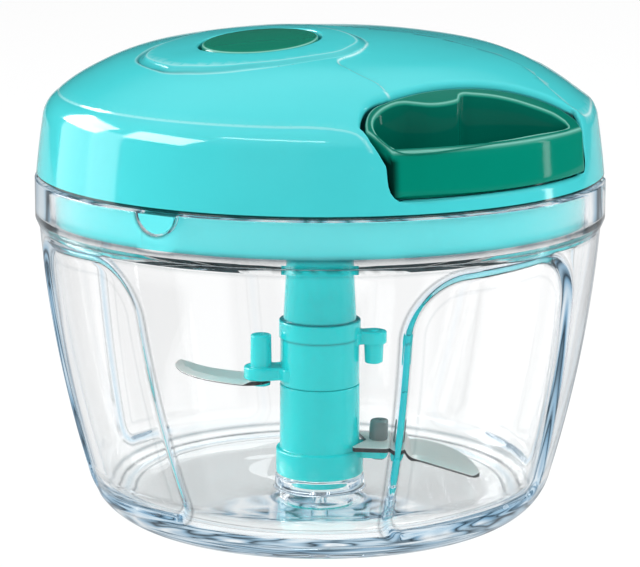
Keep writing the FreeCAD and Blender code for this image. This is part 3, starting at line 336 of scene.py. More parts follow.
def loop_edges(loops: Sequence[Array]) -> list[tuple[int, int]]:
    """Return the pairs of point numbers that join loops, counted on from each loop to the next."""
    edges, first = [], 0
    for loop in loops:
        edges.extend((first + index, first + (index + 1) % len(loop)) for index in range(len(loop)))
        first += len(loop)
    return edges


def encloses(points: Array, loop: Array) -> Array:
    """Tell which points a closed loop encloses.

    Args:
        points: the points to test.
        loop: the loop's points.

    Returns:
        An array of truth values.
    """
    after = np.roll(loop, -1, axis=0)
    inside = np.zeros(len(points), bool)
    for (x1, y1), (x2, y2) in zip(loop, after):
        if y1 == y2:
            continue
        spans = (points[:, 1] >= min(y1, y2)) & (points[:, 1] < max(y1, y2))
        inside ^= spans & (points[:, 0] < x1 + (points[:, 1] - y1) * (x2 - x1) / (y2 - y1))
    return inside


def rounding_drop(depth: Array, radius: float) -> Array:
    """Return how far a rounded edge of a radius has dropped at depths in from it, its radius at most."""
    left = np.clip(radius - depth, 0, radius)
    return radius - np.sqrt(radius * radius - left * left)


class Shell:
    """The points and faces of one piece, gathered in millimetres.

    A plate's rounded edges have a row at each edge share of their reach, and its walls one at each wall step.
    Its faces' own points keep a clearance, as a share of their spacing, from those rows. Points closer than
    the join gap become one, and edges shorter than the sliver are taken out.
    """

    edge_shares = (1.0, 0.75, 0.45, 0.2, 0.05, 0.0)
    wall_step = 3.0
    clearance = 0.3
    # A plate's painted highlight lies at the highlight place along its top edges' rounding and is the
    # highlight width wide; its holes' walls take the hole shade times its painted shade.
    highlight_place = 0.45
    highlight_width = 0.2
    hole_shade = 1.6
    join_gap = 0.002
    sliver = 0.001

    def __init__(self) -> None:
        """Start with nothing."""
        self.points: list[Array] = []
        self.faces: list[tuple[int, ...]] = []
        self.tints: list[Array] = []
        self.count = 0

    def add(self, points: Array, faces: Sequence[Sequence[int]],
            tint: Optional[Array] = None) -> None:
        """Add points and the faces between them.

        Args:
            points: an array of places.
            faces: point numbers for each face, counted from this array's first point.
            tint: the tint of each point, where it has any.
        """
        self.points.append(np.asarray(points, float))
        self.tints.append(np.zeros((len(points), 4)) if tint is None else tint.reshape(-1, 4))
        self.faces.extend(tuple(int(number) + self.count for number in face) for face in faces)
        self.count += len(points)

    def grid(self, rows: Array, closed: bool = True, tint: Optional[Array] = None) -> None:
        """Add a sheet of four-sided faces.

        Args:
            rows: an array of rows of places.
            closed: whether each row returns to its first place.
            tint: the tint of each place, where it has any.
        """
        height, width = rows.shape[:2]
        faces = []
        for row in range(height - 1):
            for column in range(width if closed else width - 1):
                after = (column + 1) % width
                first, second = row * width, (row + 1) * width
                faces.append((first + column, first + after, second + after, second + column))
        self.add(rows.reshape(-1, 3), faces, tint)

    def lathe(self, profile: Array, columns: int = 128, centre: Sequence[float] = (0, 0),
              tint: Optional[Array] = None) -> None:
        """Turn a profile of radius and height about an upright axis.

        Args:
            profile: the profile's points.
            columns: the number of points in each ring.
            centre: the axis's place.
            tint: the tint of each point of the profile, where it has any.
        """
        angles = np.arange(columns) * TURN / columns
        radius, height = profile[:, 0:1], profile[:, 1:2]
        rows = np.stack((centre[0] + radius * np.cos(angles), centre[1] + radius * np.sin(angles),
                         height + 0 * angles), axis=2)
        self.grid(rows, True, None if tint is None else np.repeat(tint[:, None], columns, 1))

    def tube(self, path: Array, radius: float, columns: int = 16) -> None:
        """Add a round tube along a path, closed at both ends.

        Args:
            path: the path's places.
            radius: the tube's radius.
            columns: the number of points in each ring.
        """
        along = np.gradient(path, axis=0)
        along /= np.linalg.norm(along, axis=1)[:, None]
        side = np.cross(along, (0.0, 0.0, 1.0))
        side /= np.linalg.norm(side, axis=1)[:, None]
        up = np.cross(side, along)
        angles = (np.arange(columns) * TURN / columns)[None, :, None]
        rings = path[:, None] + radius * (np.cos(angles) * side[:, None] + np.sin(angles) * up[:, None])
        ends = (np.repeat(path[None, 0:1], columns, 1), np.repeat(path[None, -1:], columns, 1))
        self.grid(np.concatenate((ends[0], rings, ends[1])))

    def plate(self, loops: Sequence[Array], top: Height, bottom: Height, rounding: float,
              under_rounding: float, spacing: float = 2.0, painted_highlight: float = 0.0, shade: float = 0.0,
              side_shade: float = 0.0) -> None:
        """Add a plate with rounded edges.

        Args:
            loops: the plan's outer loop, run to the left, then any holes, run to the right.
            top: gives the top face's height at plan places.
            bottom: gives the bottom face's height at plan places.
            rounding: the radius of the top edges.
            under_rounding: the radius of the bottom edges.
            spacing: the distance between the points of its faces.
            painted_highlight: how strong the painted highlight along its top edges is, from 0 to 1.
            shade: how much painted shade darkens its top face and its holes' walls, from 0 to 1.
            side_shade: how much painted shade darkens its outer wall, from 0 to 1.
        """
        reach = max(rounding, under_rounding) * np.array(self.edge_shares)
        inner = [beside(loop, reach[0], True) for loop in loops]
        lower, upper = inner[0].min(0), inner[0].max(0)
        across, along = (np.arange(lower[axis], upper[axis], spacing) for axis in (0, 1))
        scattered = np.stack(np.meshgrid(across, along), axis=2).reshape(-1, 2)
        scattered = scattered[self.depth(scattered, inner) > spacing * self.clearance]
        places, triangles = triangles_of(np.concatenate((*inner, scattered)), loop_edges(inner))
        triangles = triangles[self.depth(places[triangles].mean(1), inner) > 0]
        # The top face takes its painted shade.
        self.add(np.column_stack((places, top(places))), triangles, shaded(places, shade))
        self.add(np.column_stack((places, bottom(places))), triangles[:, ::-1])
        # A painted highlight along the rows of the top edges' rounding.
        painted_highlight_rows = bell(reach - rounding * self.highlight_place, rounding * self.highlight_width) * painted_highlight
        for loop in loops:
            lines = [beside(loop, gap, True) for gap in reach]
            upper_rows = [np.column_stack((line, top(line) - rounding_drop(gap, rounding)))
                          for line, gap in zip(lines, reach)]
            lower_rows = [np.column_stack((line, bottom(line) + rounding_drop(gap, under_rounding)))
                          for line, gap in zip(lines, reach)]
            rise = float((upper_rows[-1] - lower_rows[-1])[:, 2].max())
            shares = np.linspace(0, 1, max(1, math.ceil(rise / self.wall_step)) + 1)[1:-1, None, None]
            wall = upper_rows[-1][None] * (1 - shares) + lower_rows[-1][None] * shares
            rows = np.concatenate((np.stack(upper_rows), wall, np.stack(lower_rows[::-1])))
            # The walls take painted shade, and the top edges' rows take the painted highlight and a painted
            # shade that fades in over the rounding.
            tint = shaded(rows, side_shade if loop is loops[0] else shade * self.hole_shade)
            tint[:len(reach), :, 0] = painted_highlight_rows[:, None]
            tint[:len(reach) - 1, :, 1] = shade * np.clip(reach[:-1] / rounding, 0, 1)[:, None]
            self.grid(rows, True, tint)

    @staticmethod
    def depth(places: Array, loops: Sequence[Array]) -> Array:
        """Return how far places lie inside the nearest of a plan's loops."""
        return np.min([distance(places, loop, True)[0] for loop in loops], axis=0)

    def reshape(self, change: Callable[[Array], Array]) -> None:
        """Move every point so far to the new place that a change gives it."""
        self.points = [change(points) for points in self.points]

    def build(self, name: str, finish: "Finish", body: str, sharp: float = 32.0,
              replaces: Sequence[str] = ()) -> bpy.types.Object:
        """Make the piece and set it on its body.

        Args:
            name: the piece's name.
            finish: the finish that it wears.
            body: the CAD body that it rides on, or nothing where it rides on none.
            sharp: the angle in degrees past which an edge shows as sharp.
            replaces: the CAD nodes that it stands for.

        Returns:
            The piece.
        """
        mesh = bpy.data.meshes.new(name)
        mesh.from_pydata(np.concatenate(self.points) * MM, [], self.faces)
        # The tint carries painted highlight in red and painted shade in green; the clear bowl's tint is its
        # painted refraction lines and painted shade.
        if any(tint.any() for tint in self.tints):
            layer = mesh.color_attributes.new("tint", "FLOAT_COLOR", "POINT")
            layer.data.foreach_set("color", np.concatenate(self.tints).ravel())
        work = bmesh.new()
        work.from_mesh(mesh)
        bmesh.ops.remove_doubles(work, verts=work.verts, dist=self.join_gap * MM)
        bmesh.ops.dissolve_degenerate(work, edges=work.edges, dist=self.sliver * MM)
        bmesh.ops.recalc_face_normals(work, faces=work.faces)
        work.to_mesh(mesh)
        work.free()
        mesh.polygons.foreach_set("use_smooth", [True] * len(mesh.polygons))
        mesh.set_sharp_from_angle(angle=math.radians(sharp))
        piece = bpy.data.objects.new(name, mesh)
        bpy.context.scene.collection.objects.link(piece)
        mesh.materials.append(finish.material())
        if body:
            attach(piece, body)
        if replaces:
            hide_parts(*replaces)
        LOG.info("%s: %d faces, on %s", name, len(mesh.polygons), body)
        return piece


def triangles_of(places: Array, edges: Sequence[tuple[int, int]]) -> tuple[Array, Array]:
    """Return plan places in a new order, and the triangles between them that keep the given edges."""
    result = delaunay_2d_cdt([Vector(place) for place in places], list(edges), [], 0, 1e-5)
    return np.array([tuple(place) for place in result[0]]), np.array(result[2])


class Slot(Enum):
    """The record's material slots."""

    BOWL = "clear_bowl"
    LID = "lid"
    COLUMN = "column"
    HANDLE = "handle"
    BADGE = "badge"
    GREY_PIN = "grey_pin"
    INNER = "inner_plastic"
    BLADE = "blade_steel"
    STEEL = "steel"
    CORD = "cord"


def linear(part: float) -> float:
    """Turn a part of a screen colour, from 0 to 1, into the shader's number."""
    return part / 12.92 if part <= 0.04045 else ((part + 0.055) / 1.055) ** 2.4


def colour(code: str) -> tuple[float, float, float, float]:
    """Turn a six-digit screen colour into the shader's numbers."""
    red, green, blue = (linear(int(code[index:index + 2], 16) / 255) for index in (0, 2, 4))
    return red, green, blue, 1.0


class Nodes:
    """A node tree, with short ways of adding to it."""

    def __init__(self, tree: bpy.types.NodeTree) -> None:
        """Take the tree."""
        self.tree = tree

    def add(self, kind: str, **inputs: object) -> bpy.types.Node:
        """Add a node.

        Args:
            kind: the node's type.
            inputs: values for its sockets, by name with underscores for spaces.

        Returns:
            The node.
        """
        node = self.tree.nodes.new(kind)
        for name, value in inputs.items():
            node.inputs[name.replace("_", " ")].default_value = value
        return node

    def link(self, source: Socket, target: Socket) -> None:
        """Join two sockets."""
        self.tree.links.new(source, target)

    def noise(self, scale: float, stretch: Sequence[float] = (1, 1, 1), detail: float = 3.0) -> Socket:
        """Add noise that is fixed to the object.

        Args:
            scale: the number of its grains in a metre.
            stretch: how much finer it is along each axis.
            detail: how many finer layers it has.

        Returns:
            The noise's output.
        """
        place = self.add("ShaderNodeTexCoord")
        mapping = self.add("ShaderNodeMapping", Scale=tuple(stretch))
        noise = self.add("ShaderNodeTexNoise", Scale=scale, Detail=detail)
        self.link(place.outputs["Object"], mapping.inputs["Vector"])
        self.link(mapping.outputs["Vector"], noise.inputs["Vector"])
        return noise.outputs["Fac"]

    def ranged(self, source: Socket, low: float, high: float, start: float = 0.0, end: float = 1.0) -> Socket:
        """Map an output's range from start to end onto low to high and return the new output."""
        node = self.add("ShaderNodeMapRange", From_Min=start, From_Max=end, To_Min=low, To_Max=high)
        self.link(source, node.inputs["Value"])
        return node.outputs["Result"]

    def mixed(self, share: Socket, first: Union[Socket, str], second: Union[Socket, str]) -> Socket:
        """Mix two colours.

        Args:
            share: how much of the second colour there is.
            first: the first colour's output, or its screen colour.
            second: the second colour's output, or its screen colour.

        Returns:
            The mixed colour's output.
        """
        node = self.add("ShaderNodeMix")
        node.data_type = "RGBA"
        self.link(share, node.inputs["Factor"])
        for name, paint in (("A", first), ("B", second)):
            if isinstance(paint, str):
                node.inputs[name].default_value = colour(paint)
            else:
                self.link(paint, node.inputs[name])
        return node.outputs["Result"]

    def layered(self, share: Socket, first: Socket, second: Socket) -> Socket:
        """Mix two shaders by the second one's share and return the new output."""
        node = self.add("ShaderNodeMixShader")
        for source, target in zip((share, first, second), node.inputs):
            self.link(source, target)
        return node.outputs["Shader"]

    def worked_out(self, operation: str, first: Socket, second: Union[Socket, float],
                   clamped: bool = False) -> Socket:
        """Work out a number from two others.

        Args:
            operation: what is done with them.
            first: the first number's output.
            second: the second number's output, or the number.
            clamped: whether the result is kept from 0 to 1.

        Returns:
            The result's output.
        """
        node = self.add("ShaderNodeMath")
        node.operation = operation
        node.use_clamp = clamped
        self.link(first, node.inputs[0])
        if isinstance(second, float):
            node.inputs[1].default_value = second
        else:
            self.link(second, node.inputs[1])
        return node.outputs["Value"]

    def varied(self, source: Socket, tone: str, low: float, high: float) -> Socket:
        """Vary a screen colour's brightness from low to high by an output and return the new output."""
        ramp = self.add("ShaderNodeValToRGB")
        for element, share in zip(ramp.color_ramp.elements, (low, high)):
            element.color = (*(min(1.0, part * share) for part in colour(tone)[:3]), 1.0)
        self.link(source, ramp.inputs["Fac"])
        return ramp.outputs["Color"]

    def ramp(self, source: Socket, stops: Sequence[tuple[float, str]]) -> Socket:
        """Turn an output into the screen colours of a ramp's stops and return the new output."""
        ramp = self.add("ShaderNodeValToRGB")
        elements = ramp.color_ramp.elements
        elements.remove(elements[-1])
        for index, (position, tone) in enumerate(stops):
            element = elements.new(position) if index else elements[0]
            element.position = position
            element.color = colour(tone)
        self.link(source, ramp.inputs["Fac"])
        return ramp.outputs["Color"]

    def tint(self) -> Socket:
        """Return the output of the colour that the mesh carries, its painted highlight, painted shade and
        painted refraction lines.
        """
        node = self.add("ShaderNodeAttribute")
        node.attribute_name = "tint"
        return node.outputs["Color"]

    def tint_parts(self) -> bpy.types.Node:
        """Return a node that splits the colour that the mesh carries."""
        parts = self.add("ShaderNodeSeparateColor")
        self.link(self.tint(), parts.inputs["Color"])
        return parts


class MaterialNodes(Nodes):
    """The nodes of a new material, around its main shader."""

    def __init__(self, name: str) -> None:
        """Make the material."""
        self.material = bpy.data.materials.new(name)
        self.material.use_nodes = True
        super().__init__(self.material.node_tree)
        self.shader = self.tree.nodes["Principled BSDF"]
        self.surface = self.tree.nodes["Material Output"].inputs["Surface"]
        self.volume = self.tree.nodes["Material Output"].inputs["Volume"]

    def set(self, **inputs: object) -> None:
        """Set values on the main shader's sockets, by name with underscores for spaces."""
        for name, value in inputs.items():
            self.shader.inputs[name.replace("_", " ")].default_value = value

    def feed(self, name: str, source: Socket) -> None:
        """Join an output to one of the main shader's sockets."""
        self.link(source, self.shader.inputs[name])

    def bump(self, source: Socket, strength: float, depth: float) -> None:
        """Raise the surface by an output, at a strength and to a depth in metres."""
        node = self.add("ShaderNodeBump", Strength=strength, Distance=depth)
        self.link(source, node.inputs["Height"])
        self.feed("Normal", node.outputs["Normal"])


@dataclass(frozen=True)
class Finish:
    """What every finish has: its name and the record's slot that it belongs to."""

    name: str
    slot: Slot

    def material(self) -> bpy.types.Material:
        """Return the finish's material, made once."""
        found = bpy.data.materials.get(self.name)
        return found if found else self.make()

    def make(self) -> bpy.types.Material:
        """Make the material."""
        raise NotImplementedError


@dataclass(frozen=True)
class MouldedPlastic(Finish):
    """Glossy injection-moulded plastic with a faint flow in its colour and gloss.

    The edge colour is a painted highlight, shown where the mesh's tint is red, and the painted shade tone is
    a painted shade, shown where it is green.
    """

    tone: str = "FFFFFF"
    # The edge colour is the painted highlight's colour; the colour after it is the painted shade's.
    edge: str = "FFFFFF"
    painted_shade_tone: str = "000000"
    roughness: float = 0.1
    specular: float = 0.5
    flow_scale: float = 45.0
    flow: Pair = (0.965, 1.035)
    gloss_scale: float = 350.0
    gloss: Pair = (0.8, 1.25)
    wave_scale: float = 160.0
    wave_strength: float = 0.008
    wave_depth: float = 0.0002

    def make(self) -> bpy.types.Material:
        """Make the material.

        Returns:
            The plastic.
        """
        nodes = MaterialNodes(self.name)
        parts = nodes.tint_parts().outputs
        tone = nodes.varied(nodes.noise(self.flow_scale), self.tone, *self.flow)
        # Painted highlight where the tint is red, painted shade where it is green.
        tone = nodes.mixed(parts["Red"], tone, self.edge)
        nodes.feed("Base Color", nodes.mixed(parts["Green"], tone, self.painted_shade_tone))
        low, high = self.gloss
        nodes.feed("Roughness", nodes.ranged(nodes.noise(self.gloss_scale), self.roughness * low,
                                             self.roughness * high))
        nodes.bump(nodes.noise(self.wave_scale, detail=2.0), self.wave_strength, self.wave_depth)
        nodes.set(Specular_IOR_Level=self.specular)
        return nodes.material


@dataclass(frozen=True)
class ClearPlastic(Finish):
    """Clear moulded plastic, coloured by the painted refraction lines and painted shade that its mesh
    carries, with a painted glow in its thick edges.

    A path that has bounced inside the wall more often than its patience ends on a painted glow in streaked
    colours, standing in for light caught there.
    """

    body_tone: str = "CFE6F2"
    density: float = 8.0
    ior: float = 1.5
    mirror: str = "969696"
    breaks: Pair = (0.65, 1.25)
    break_noise: Grain = (90.0, (1, 1, 0.5), 2.0)
    swirl_noise: Grain = (70.0, (1, 1, 0.25), 1.5)
    wave_noise: Grain = (28.0, (1, 1, 0.15), 1.0)
    wave_strength: float = 0.02
    wave_depth: float = 0.0006
    patience: float = 2.5
    painted_glow_streaks: tuple[tuple[float, str], ...] = (
        (0.30, "F6FAFC"), (0.40, "B4CEDF"), (0.46, "33434E"), (0.50, "9DBDD2"), (0.58, "FFFFFF"),
        (0.66, "C9DDE9"), (0.72, "5C7484"), (0.78, "FFFFFF"))

    def make(self) -> bpy.types.Material:
        """Make the material.

        Returns:
            The clear plastic.
        """
        nodes = MaterialNodes(self.name)
        nodes.set(Transmission_Weight=1.0, IOR=self.ior, Specular_Tint=colour(self.mirror), Roughness=0.0)
        # The mesh's painted refraction lines and painted shade, broken up by noise, colour the light that
        # passes through.
        share = nodes.ranged(nodes.noise(*self.break_noise), *self.breaks)
        nodes.feed("Base Color", nodes.mixed(share, "FFFFFF", nodes.tint()))
        nodes.bump(nodes.noise(*self.wave_noise), self.wave_strength, self.wave_depth)
        volume = nodes.add("ShaderNodeVolumeAbsorption", Color=colour(self.body_tone), Density=self.density)
        nodes.link(volume.outputs["Volume"], nodes.volume)
        path = nodes.add("ShaderNodeLightPath")
        # Painted glow: caught paths end on an emission in streaked colours.
        caught = nodes.worked_out("GREATER_THAN", path.outputs["Glossy Depth"], self.patience)
        glow = nodes.add("ShaderNodeEmission")
        nodes.link(nodes.ramp(nodes.noise(*self.swirl_noise), self.painted_glow_streaks), glow.inputs["Color"])
        whole = nodes.layered(caught, nodes.shader.outputs["BSDF"], glow.outputs["Emission"])
        nodes.link(whole, nodes.surface)
        return nodes.material


@dataclass(frozen=True)
class Steel(Finish):
    """Rolled or ground steel with fine lines in its gloss, and painted shade on its sides where its mesh's
    tint is green.
    """

    tone: str = "C4C2C0"
    roughness: float = 0.3
    # The colour of the painted shade on the sides.
    side: str = "1C1E20"
    metal: float = 1.0
    grain_scale: float = 260.0
    lines: Place = (1.0, 20.0, 1.0)
    grain: Pair = (0.88, 1.0)
    gloss: Pair = (0.75, 1.3)
    line_strength: float = 0.06
    line_depth: float = 0.00005

    def make(self) -> bpy.types.Material:
        """Make the material.

        Returns:
            The steel.
        """
        nodes = MaterialNodes(self.name)
        grain = nodes.noise(self.grain_scale, self.lines, 5.0)
        tone = nodes.varied(grain, self.tone, *self.grain)
        nodes.feed("Base Color", nodes.mixed(nodes.tint_parts().outputs["Green"], tone, self.side))
        low, high = self.gloss
        nodes.feed("Roughness", nodes.ranged(grain, self.roughness * low, self.roughness * high))
        nodes.bump(grain, self.line_strength, self.line_depth)
        nodes.set(Metallic=self.metal)
        return nodes.material


@dataclass(frozen=True)
class BraidedCord(Finish):
    """White braided cord."""

    tone: str = "E6E4DE"
    roughness: float = 0.75
    sheen: float = 0.3
    strand_scale: float = 900.0
    strand_turn: float = 0.8
    braid_strength: float = 0.5
    braid_depth: float = 0.0002

    def make(self) -> bpy.types.Material:
        """Make the material.

        Returns:
            The cord's finish.
        """
        nodes = MaterialNodes(self.name)
        nodes.set(Base_Color=colour(self.tone), Roughness=self.roughness, Sheen_Weight=self.sheen)
        place = nodes.add("ShaderNodeTexCoord")
        waves = []
        for turn in (self.strand_turn, -self.strand_turn):
            mapping = nodes.add("ShaderNodeMapping", Rotation=(0.0, 0.0, turn))
            wave = nodes.add("ShaderNodeTexWave", Scale=self.strand_scale, Distortion=0.5)
            nodes.link(place.outputs["Object"], mapping.inputs["Vector"])
            nodes.link(mapping.outputs["Vector"], wave.inputs["Vector"])
            waves.append(wave.outputs["Fac"])
        nodes.bump(nodes.worked_out("MAXIMUM", *waves), self.braid_strength, self.braid_depth)
        return nodes.material


CLEAR = ClearPlastic("clear_bowl_plastic", Slot.BOWL)
# The edge colours below are painted highlights, and the dark second colours painted shade.
LID_PLASTIC = MouldedPlastic("turquoise_lid_plastic", Slot.LID, tone="4CDADF", edge="D8FFFF",
                             painted_shade_tone="063A3A", roughness=0.09)
# The skirt wears a lighter copy of the lid's turquoise, painted brighter to make up for the light that the
# clear bowl takes from it.
SKIRT_PLASTIC = MouldedPlastic("turquoise_skirt_painted_lighter_plastic", Slot.LID, tone="66EEF3", roughness=0.12)
COLUMN_PLASTIC = MouldedPlastic("turquoise_column_plastic", Slot.COLUMN, tone="12D6D8", edge="C8FFFF",
                                painted_shade_tone="067E84", roughness=0.12)
HANDLE_PLASTIC = MouldedPlastic("green_handle_plastic", Slot.HANDLE, tone="028A74", edge="9CE8D8",
                                painted_shade_tone="022A22", roughness=0.08, specular=0.1)
BADGE_PLASTIC = MouldedPlastic("green_badge_plastic", Slot.BADGE, tone="0A8066", edge="A8F0E0",
                               painted_shade_tone="02382C", roughness=0.09, specular=0.22)
GREY_PLASTIC = MouldedPlastic("grey_pin_plastic", Slot.GREY_PIN, tone="6E7878", roughness=0.2)
INNER_PLASTIC = MouldedPlastic("white_inner_plastic", Slot.INNER, tone="D8DAD8", roughness=0.35)
BLADE_STEEL = Steel("blade_steel_finish", Slot.BLADE, tone="EAD8D4", metal=0.15)
PIN_STEEL = Steel("pin_steel_finish", Slot.STEEL, tone="B8BABC", roughness=0.22, lines=(1.0, 1.0, 12.0))
CORD_BRAID = BraidedCord("white_cord_braid", Slot.CORD)


@dataclass(frozen=True)
class PaintedLightLine:
    """A soft line of painted light or shade on a mesh: its place, its width, its screen colour and how strong
    it is.
    """

    place: float
    width: float
    tone: str
    share: float

    def lay(self, colours: Array, places: Array, where: Union[Array, float] = 1.0) -> None:
        """Mix the line into colours.

        Args:
            colours: the colours to change.
            places: where each of them lies across the line.
            where: how much of the line each of them takes.
        """
        strength = bell(places - self.place, self.width) * self.share * where
        colours[..., :3] += (np.array(colour(self.tone)[:3]) - colours[..., :3]) * strength[..., None]


@dataclass
class Bowl:
    """The clear bowl with its collar, grip panels, key notches and the pivot pin in its floor."""

    base_radius: float = 40.0
    corner_radius: float = 14.0
    foot_radius: float = 53.7
    foot_height: float = 11.0
    top_radius: float = 64.0
    top_height: float = 68.0
    wall_bow: float = 290.0
    wall: float = 2.6
    floor_height: float = 5.6
    inner_corner: float = 8.0
    collar_radius: float = 65.0
    collar_step: float = 70.3
    collar_bore: float = 61.9
    ledge: float = 69.3
    seam: float = 79.4
    boss_radius: float = 10.4
    boss_height: float = 8.6
    socket_radius: float = 7.1
    socket_floor: float = 6.0
    pin_radius: float = 1.6
    pin_foot: float = 2.5
    pin_top: float = 21.0
    pin_gap: float = 0.01
    panel_depth: float = 1.2
    panel_half_width: float = 23.5
    panel_top: float = 67.0
    panel_bottom: float = 8.0
    panel_corner: float = 13.0
    panel_low_corner: float = 5.0
    panel_lean: float = 2.75
    panel_edge: float = 3.0
    panel_sides: Row = (40.0, 220.0, -59.5, 120.5)
    soft_share: float = 2.6
    soft_sides: Pair = (122.0, 136.0)
    bead_rise: float = 0.35
    bead_width: float = 1.1
    bead_span: Row = (4.0, 9.0, 67.0, 69.0)
    key_side: float = -32.5
    key_centre: float = 79.7
    key_reach: float = 0.1
    notch_radius: float = 5.0
    fine_row: float = 0.4
    wide_row: float = 1.1
    wide_heights: Pair = (14.0, 49.0)
    close_row: float = 0.25
    plain_floor: float = 42.0
    fine_column: float = 0.3
    wide_column: int = 5
    fine_span: Pair = (9.0, 31.0)
    inner_columns: int = 240
    # The inner wall takes faint painted shade bands over the band span.
    band_shade: float = 0.13
    band_span: Row = (10.0, 16.0, 62.0, 66.0)
    line_span: Row = (3.5, 7.0, 68.0, 69.0)
    faint: float = 0.15
    # Painted lines on the bowl: dark and pale-blue lines along the panels' edges that stand in for their
    # refraction, painted shade rings about the collar, a painted shade line along each key notch's edge, and
    # painted refraction rings at the floor's corner.
    edge_lines: tuple[PaintedLightLine, ...] = (
        PaintedLightLine(0.1, 0.95, "8CC4E4", 0.75), PaintedLightLine(1.55, 0.28, "33454F", 0.8),
        PaintedLightLine(-1.35, 0.26, "3C4C56", 0.7), PaintedLightLine(-4.2, 0.3, "8A979E", 0.3))
    ring_lines: tuple[PaintedLightLine, ...] = (
        PaintedLightLine(71.3, 0.85, "0A3442", 0.95), PaintedLightLine(69.3, 0.22, "18302E", 0.9),
        PaintedLightLine(67.6, 0.3, "7E8C90", 0.5))
    key_line: PaintedLightLine = PaintedLightLine(0.2, 0.45, "022A2E", 1.0)
    floor_lines: tuple[PaintedLightLine, ...] = (
        PaintedLightLine(43.0, 0.4, "1E3440", 0.9), PaintedLightLine(44.8, 0.8, "9CC0D4", 0.6),
        PaintedLightLine(46.6, 0.4, "14242E", 1.0), PaintedLightLine(48.6, 0.4, "3C5866", 0.8))

    def outside(self) -> Array:
        """Return the outer wall's profile, from the axis up to the collar's ledge."""
        line = Profile(0, 0).to(self.base_radius, 0)
        line.arc(self.foot_radius, self.foot_height, -self.corner_radius, 60)
        line.arc(self.top_radius, self.top_height, -self.wall_bow, 300)
        points = line.line()
        along = np.concatenate(((0,), np.hypot(*np.diff(points, axis=0).T).cumsum()))
        places = [self.base_radius]
        low, high = self.wide_heights
        while places[-1] < along[-1]:
            height = np.interp(places[-1], along, points[:, 1])
            places.append(places[-1] + (self.wide_row if low <= height <= high else self.fine_row))
        places[-1] = along[-1]
        wall = np.column_stack([np.interp(places, along, axis) for axis in points.T])
        collar = Profile(*wall[-1])
        for share in np.arange(0.1, 0.65, 0.1):
            collar.to(*(wall[-1] + ((self.collar_radius, self.collar_step) - wall[-1]) * share))
        collar.to(self.collar_radius, self.collar_step, 0.8)
        for height in np.arange(self.collar_step + 0.9, self.seam - 0.8, self.close_row):
            collar.to(self.collar_radius, height)
        collar.to(self.collar_radius, self.seam, 0.5).to(self.collar_bore, self.seam, 0.4)
        collar.to(self.collar_bore, self.ledge, 0.5).to(self.top_radius - self.wall, self.ledge)
        return np.concatenate((((0.0, 0.0),), wall, collar.line()[1:]))

    def inside(self) -> Array:
        """Return the inner wall's profile, from the collar's ledge down to the pin in the floor."""
        foot = self.foot_radius - self.wall
        flat = foot - self.inner_corner * 0.95
        line = Profile(self.top_radius - self.wall, self.ledge)
        line.arc(foot, self.floor_height + self.inner_corner * 0.9, self.wall_bow, 50)
        line.arc(flat, self.floor_height, self.inner_corner, 44)
        for reach in np.arange(flat - self.close_row, self.plain_floor, -self.close_row):
            line.to(reach, self.floor_height)
        line.to(self.boss_radius, self.floor_height, 0.5).to(self.boss_radius, self.boss_height, 0.5)
        line.to(self.socket_radius, self.boss_height, 0.4).to(self.socket_radius, self.socket_floor)
        line.to(self.pin_radius, self.socket_floor).to(self.pin_radius, self.pin_foot)
        return line.to(0, self.pin_foot).line()

    def key_turns(self, angles: Array) -> Array:
        """Return how far angles are turned from the nearest of the three keys."""
        third = TURN / 3
        return (angles - math.radians(self.key_side) + third / 2) % third - third / 2

    def columns(self) -> Array:
        """Return the angles of the wall's columns, closer together at the panels' edges and the keys."""
        angles = np.radians(np.arange(0, 360, self.fine_column))
        near = np.abs(self.key_turns(angles)) * self.collar_radius < self.notch_radius + 1
        for side in self.panel_sides:
            across = np.abs(turned_from(side, angles)) * self.top_radius
            near |= (across > self.fine_span[0]) & (across < self.fine_span[1])
        return angles[near | (np.arange(len(angles)) % self.wide_column == 0)]

    def notched(self, sides: Array, places: Array) -> Array:
        """Return the heights of places on the wall with the rim dipped at the key notches.

        Args:
            sides: each place's angle from the front.
            places: each place's radius and height.

        Returns:
            The heights.
        """
        heights = places[..., 1]
        across = np.abs(self.key_turns(sides)) * self.collar_radius
        dip = self.key_centre - np.sqrt(np.maximum(self.notch_radius ** 2 - across ** 2, 0))
        rim = np.where(across < self.notch_radius, np.minimum(self.seam, dip), self.seam)
        base = self.collar_step + 0.3
        share = np.clip((heights - base) / (self.seam - base), 0, None)
        high = (heights > base) & (places[..., 0] > self.collar_bore - 0.1)
        return np.where(high, base + share * (rim - base), heights)

    def panel_gap(self, sides: Array, places: Array) -> Array:
        """Return how far places on the wall are outside the nearest grip panel's edge.

        Args:
            sides: each place's angle from the front.
            places: each place's radius and height.

        Returns:
            The distances, negative inside a panel.
        """
        gap = np.full(sides.shape, math.inf)
        middle = (self.panel_top + self.panel_bottom) / 2
        half = (self.panel_top - self.panel_bottom) / 2
        lean = math.radians(self.panel_lean)
        up = places[..., 1] - middle
        for side in self.panel_sides:
            turn = turned_from(side, sides)
            across = places[..., 0] * np.sin(turn)
            x = np.abs(across * math.cos(lean) + up * math.sin(lean))
            z = up * math.cos(lean) - across * math.sin(lean)
            corner = np.where(z > 0, self.panel_corner, self.panel_low_corner)
            out_x, out_z = x - (self.panel_half_width - corner), np.abs(z) - (half - corner)
            inside = np.minimum(np.maximum(out_x, out_z), 0)
            edge = np.hypot(np.maximum(out_x, 0), np.maximum(out_z, 0)) + inside - corner
            gap = np.minimum(gap, np.where(np.abs(turn) < math.pi / 2, edge, math.inf))
        return gap

    def firmness(self, sides: Array) -> Array:
        """Return how crisp the panels' edges are at angles from the front: crisp, but soft at the back."""
        return 1 - smooth(*self.soft_sides, np.degrees(np.abs(turned_from(0, sides))))

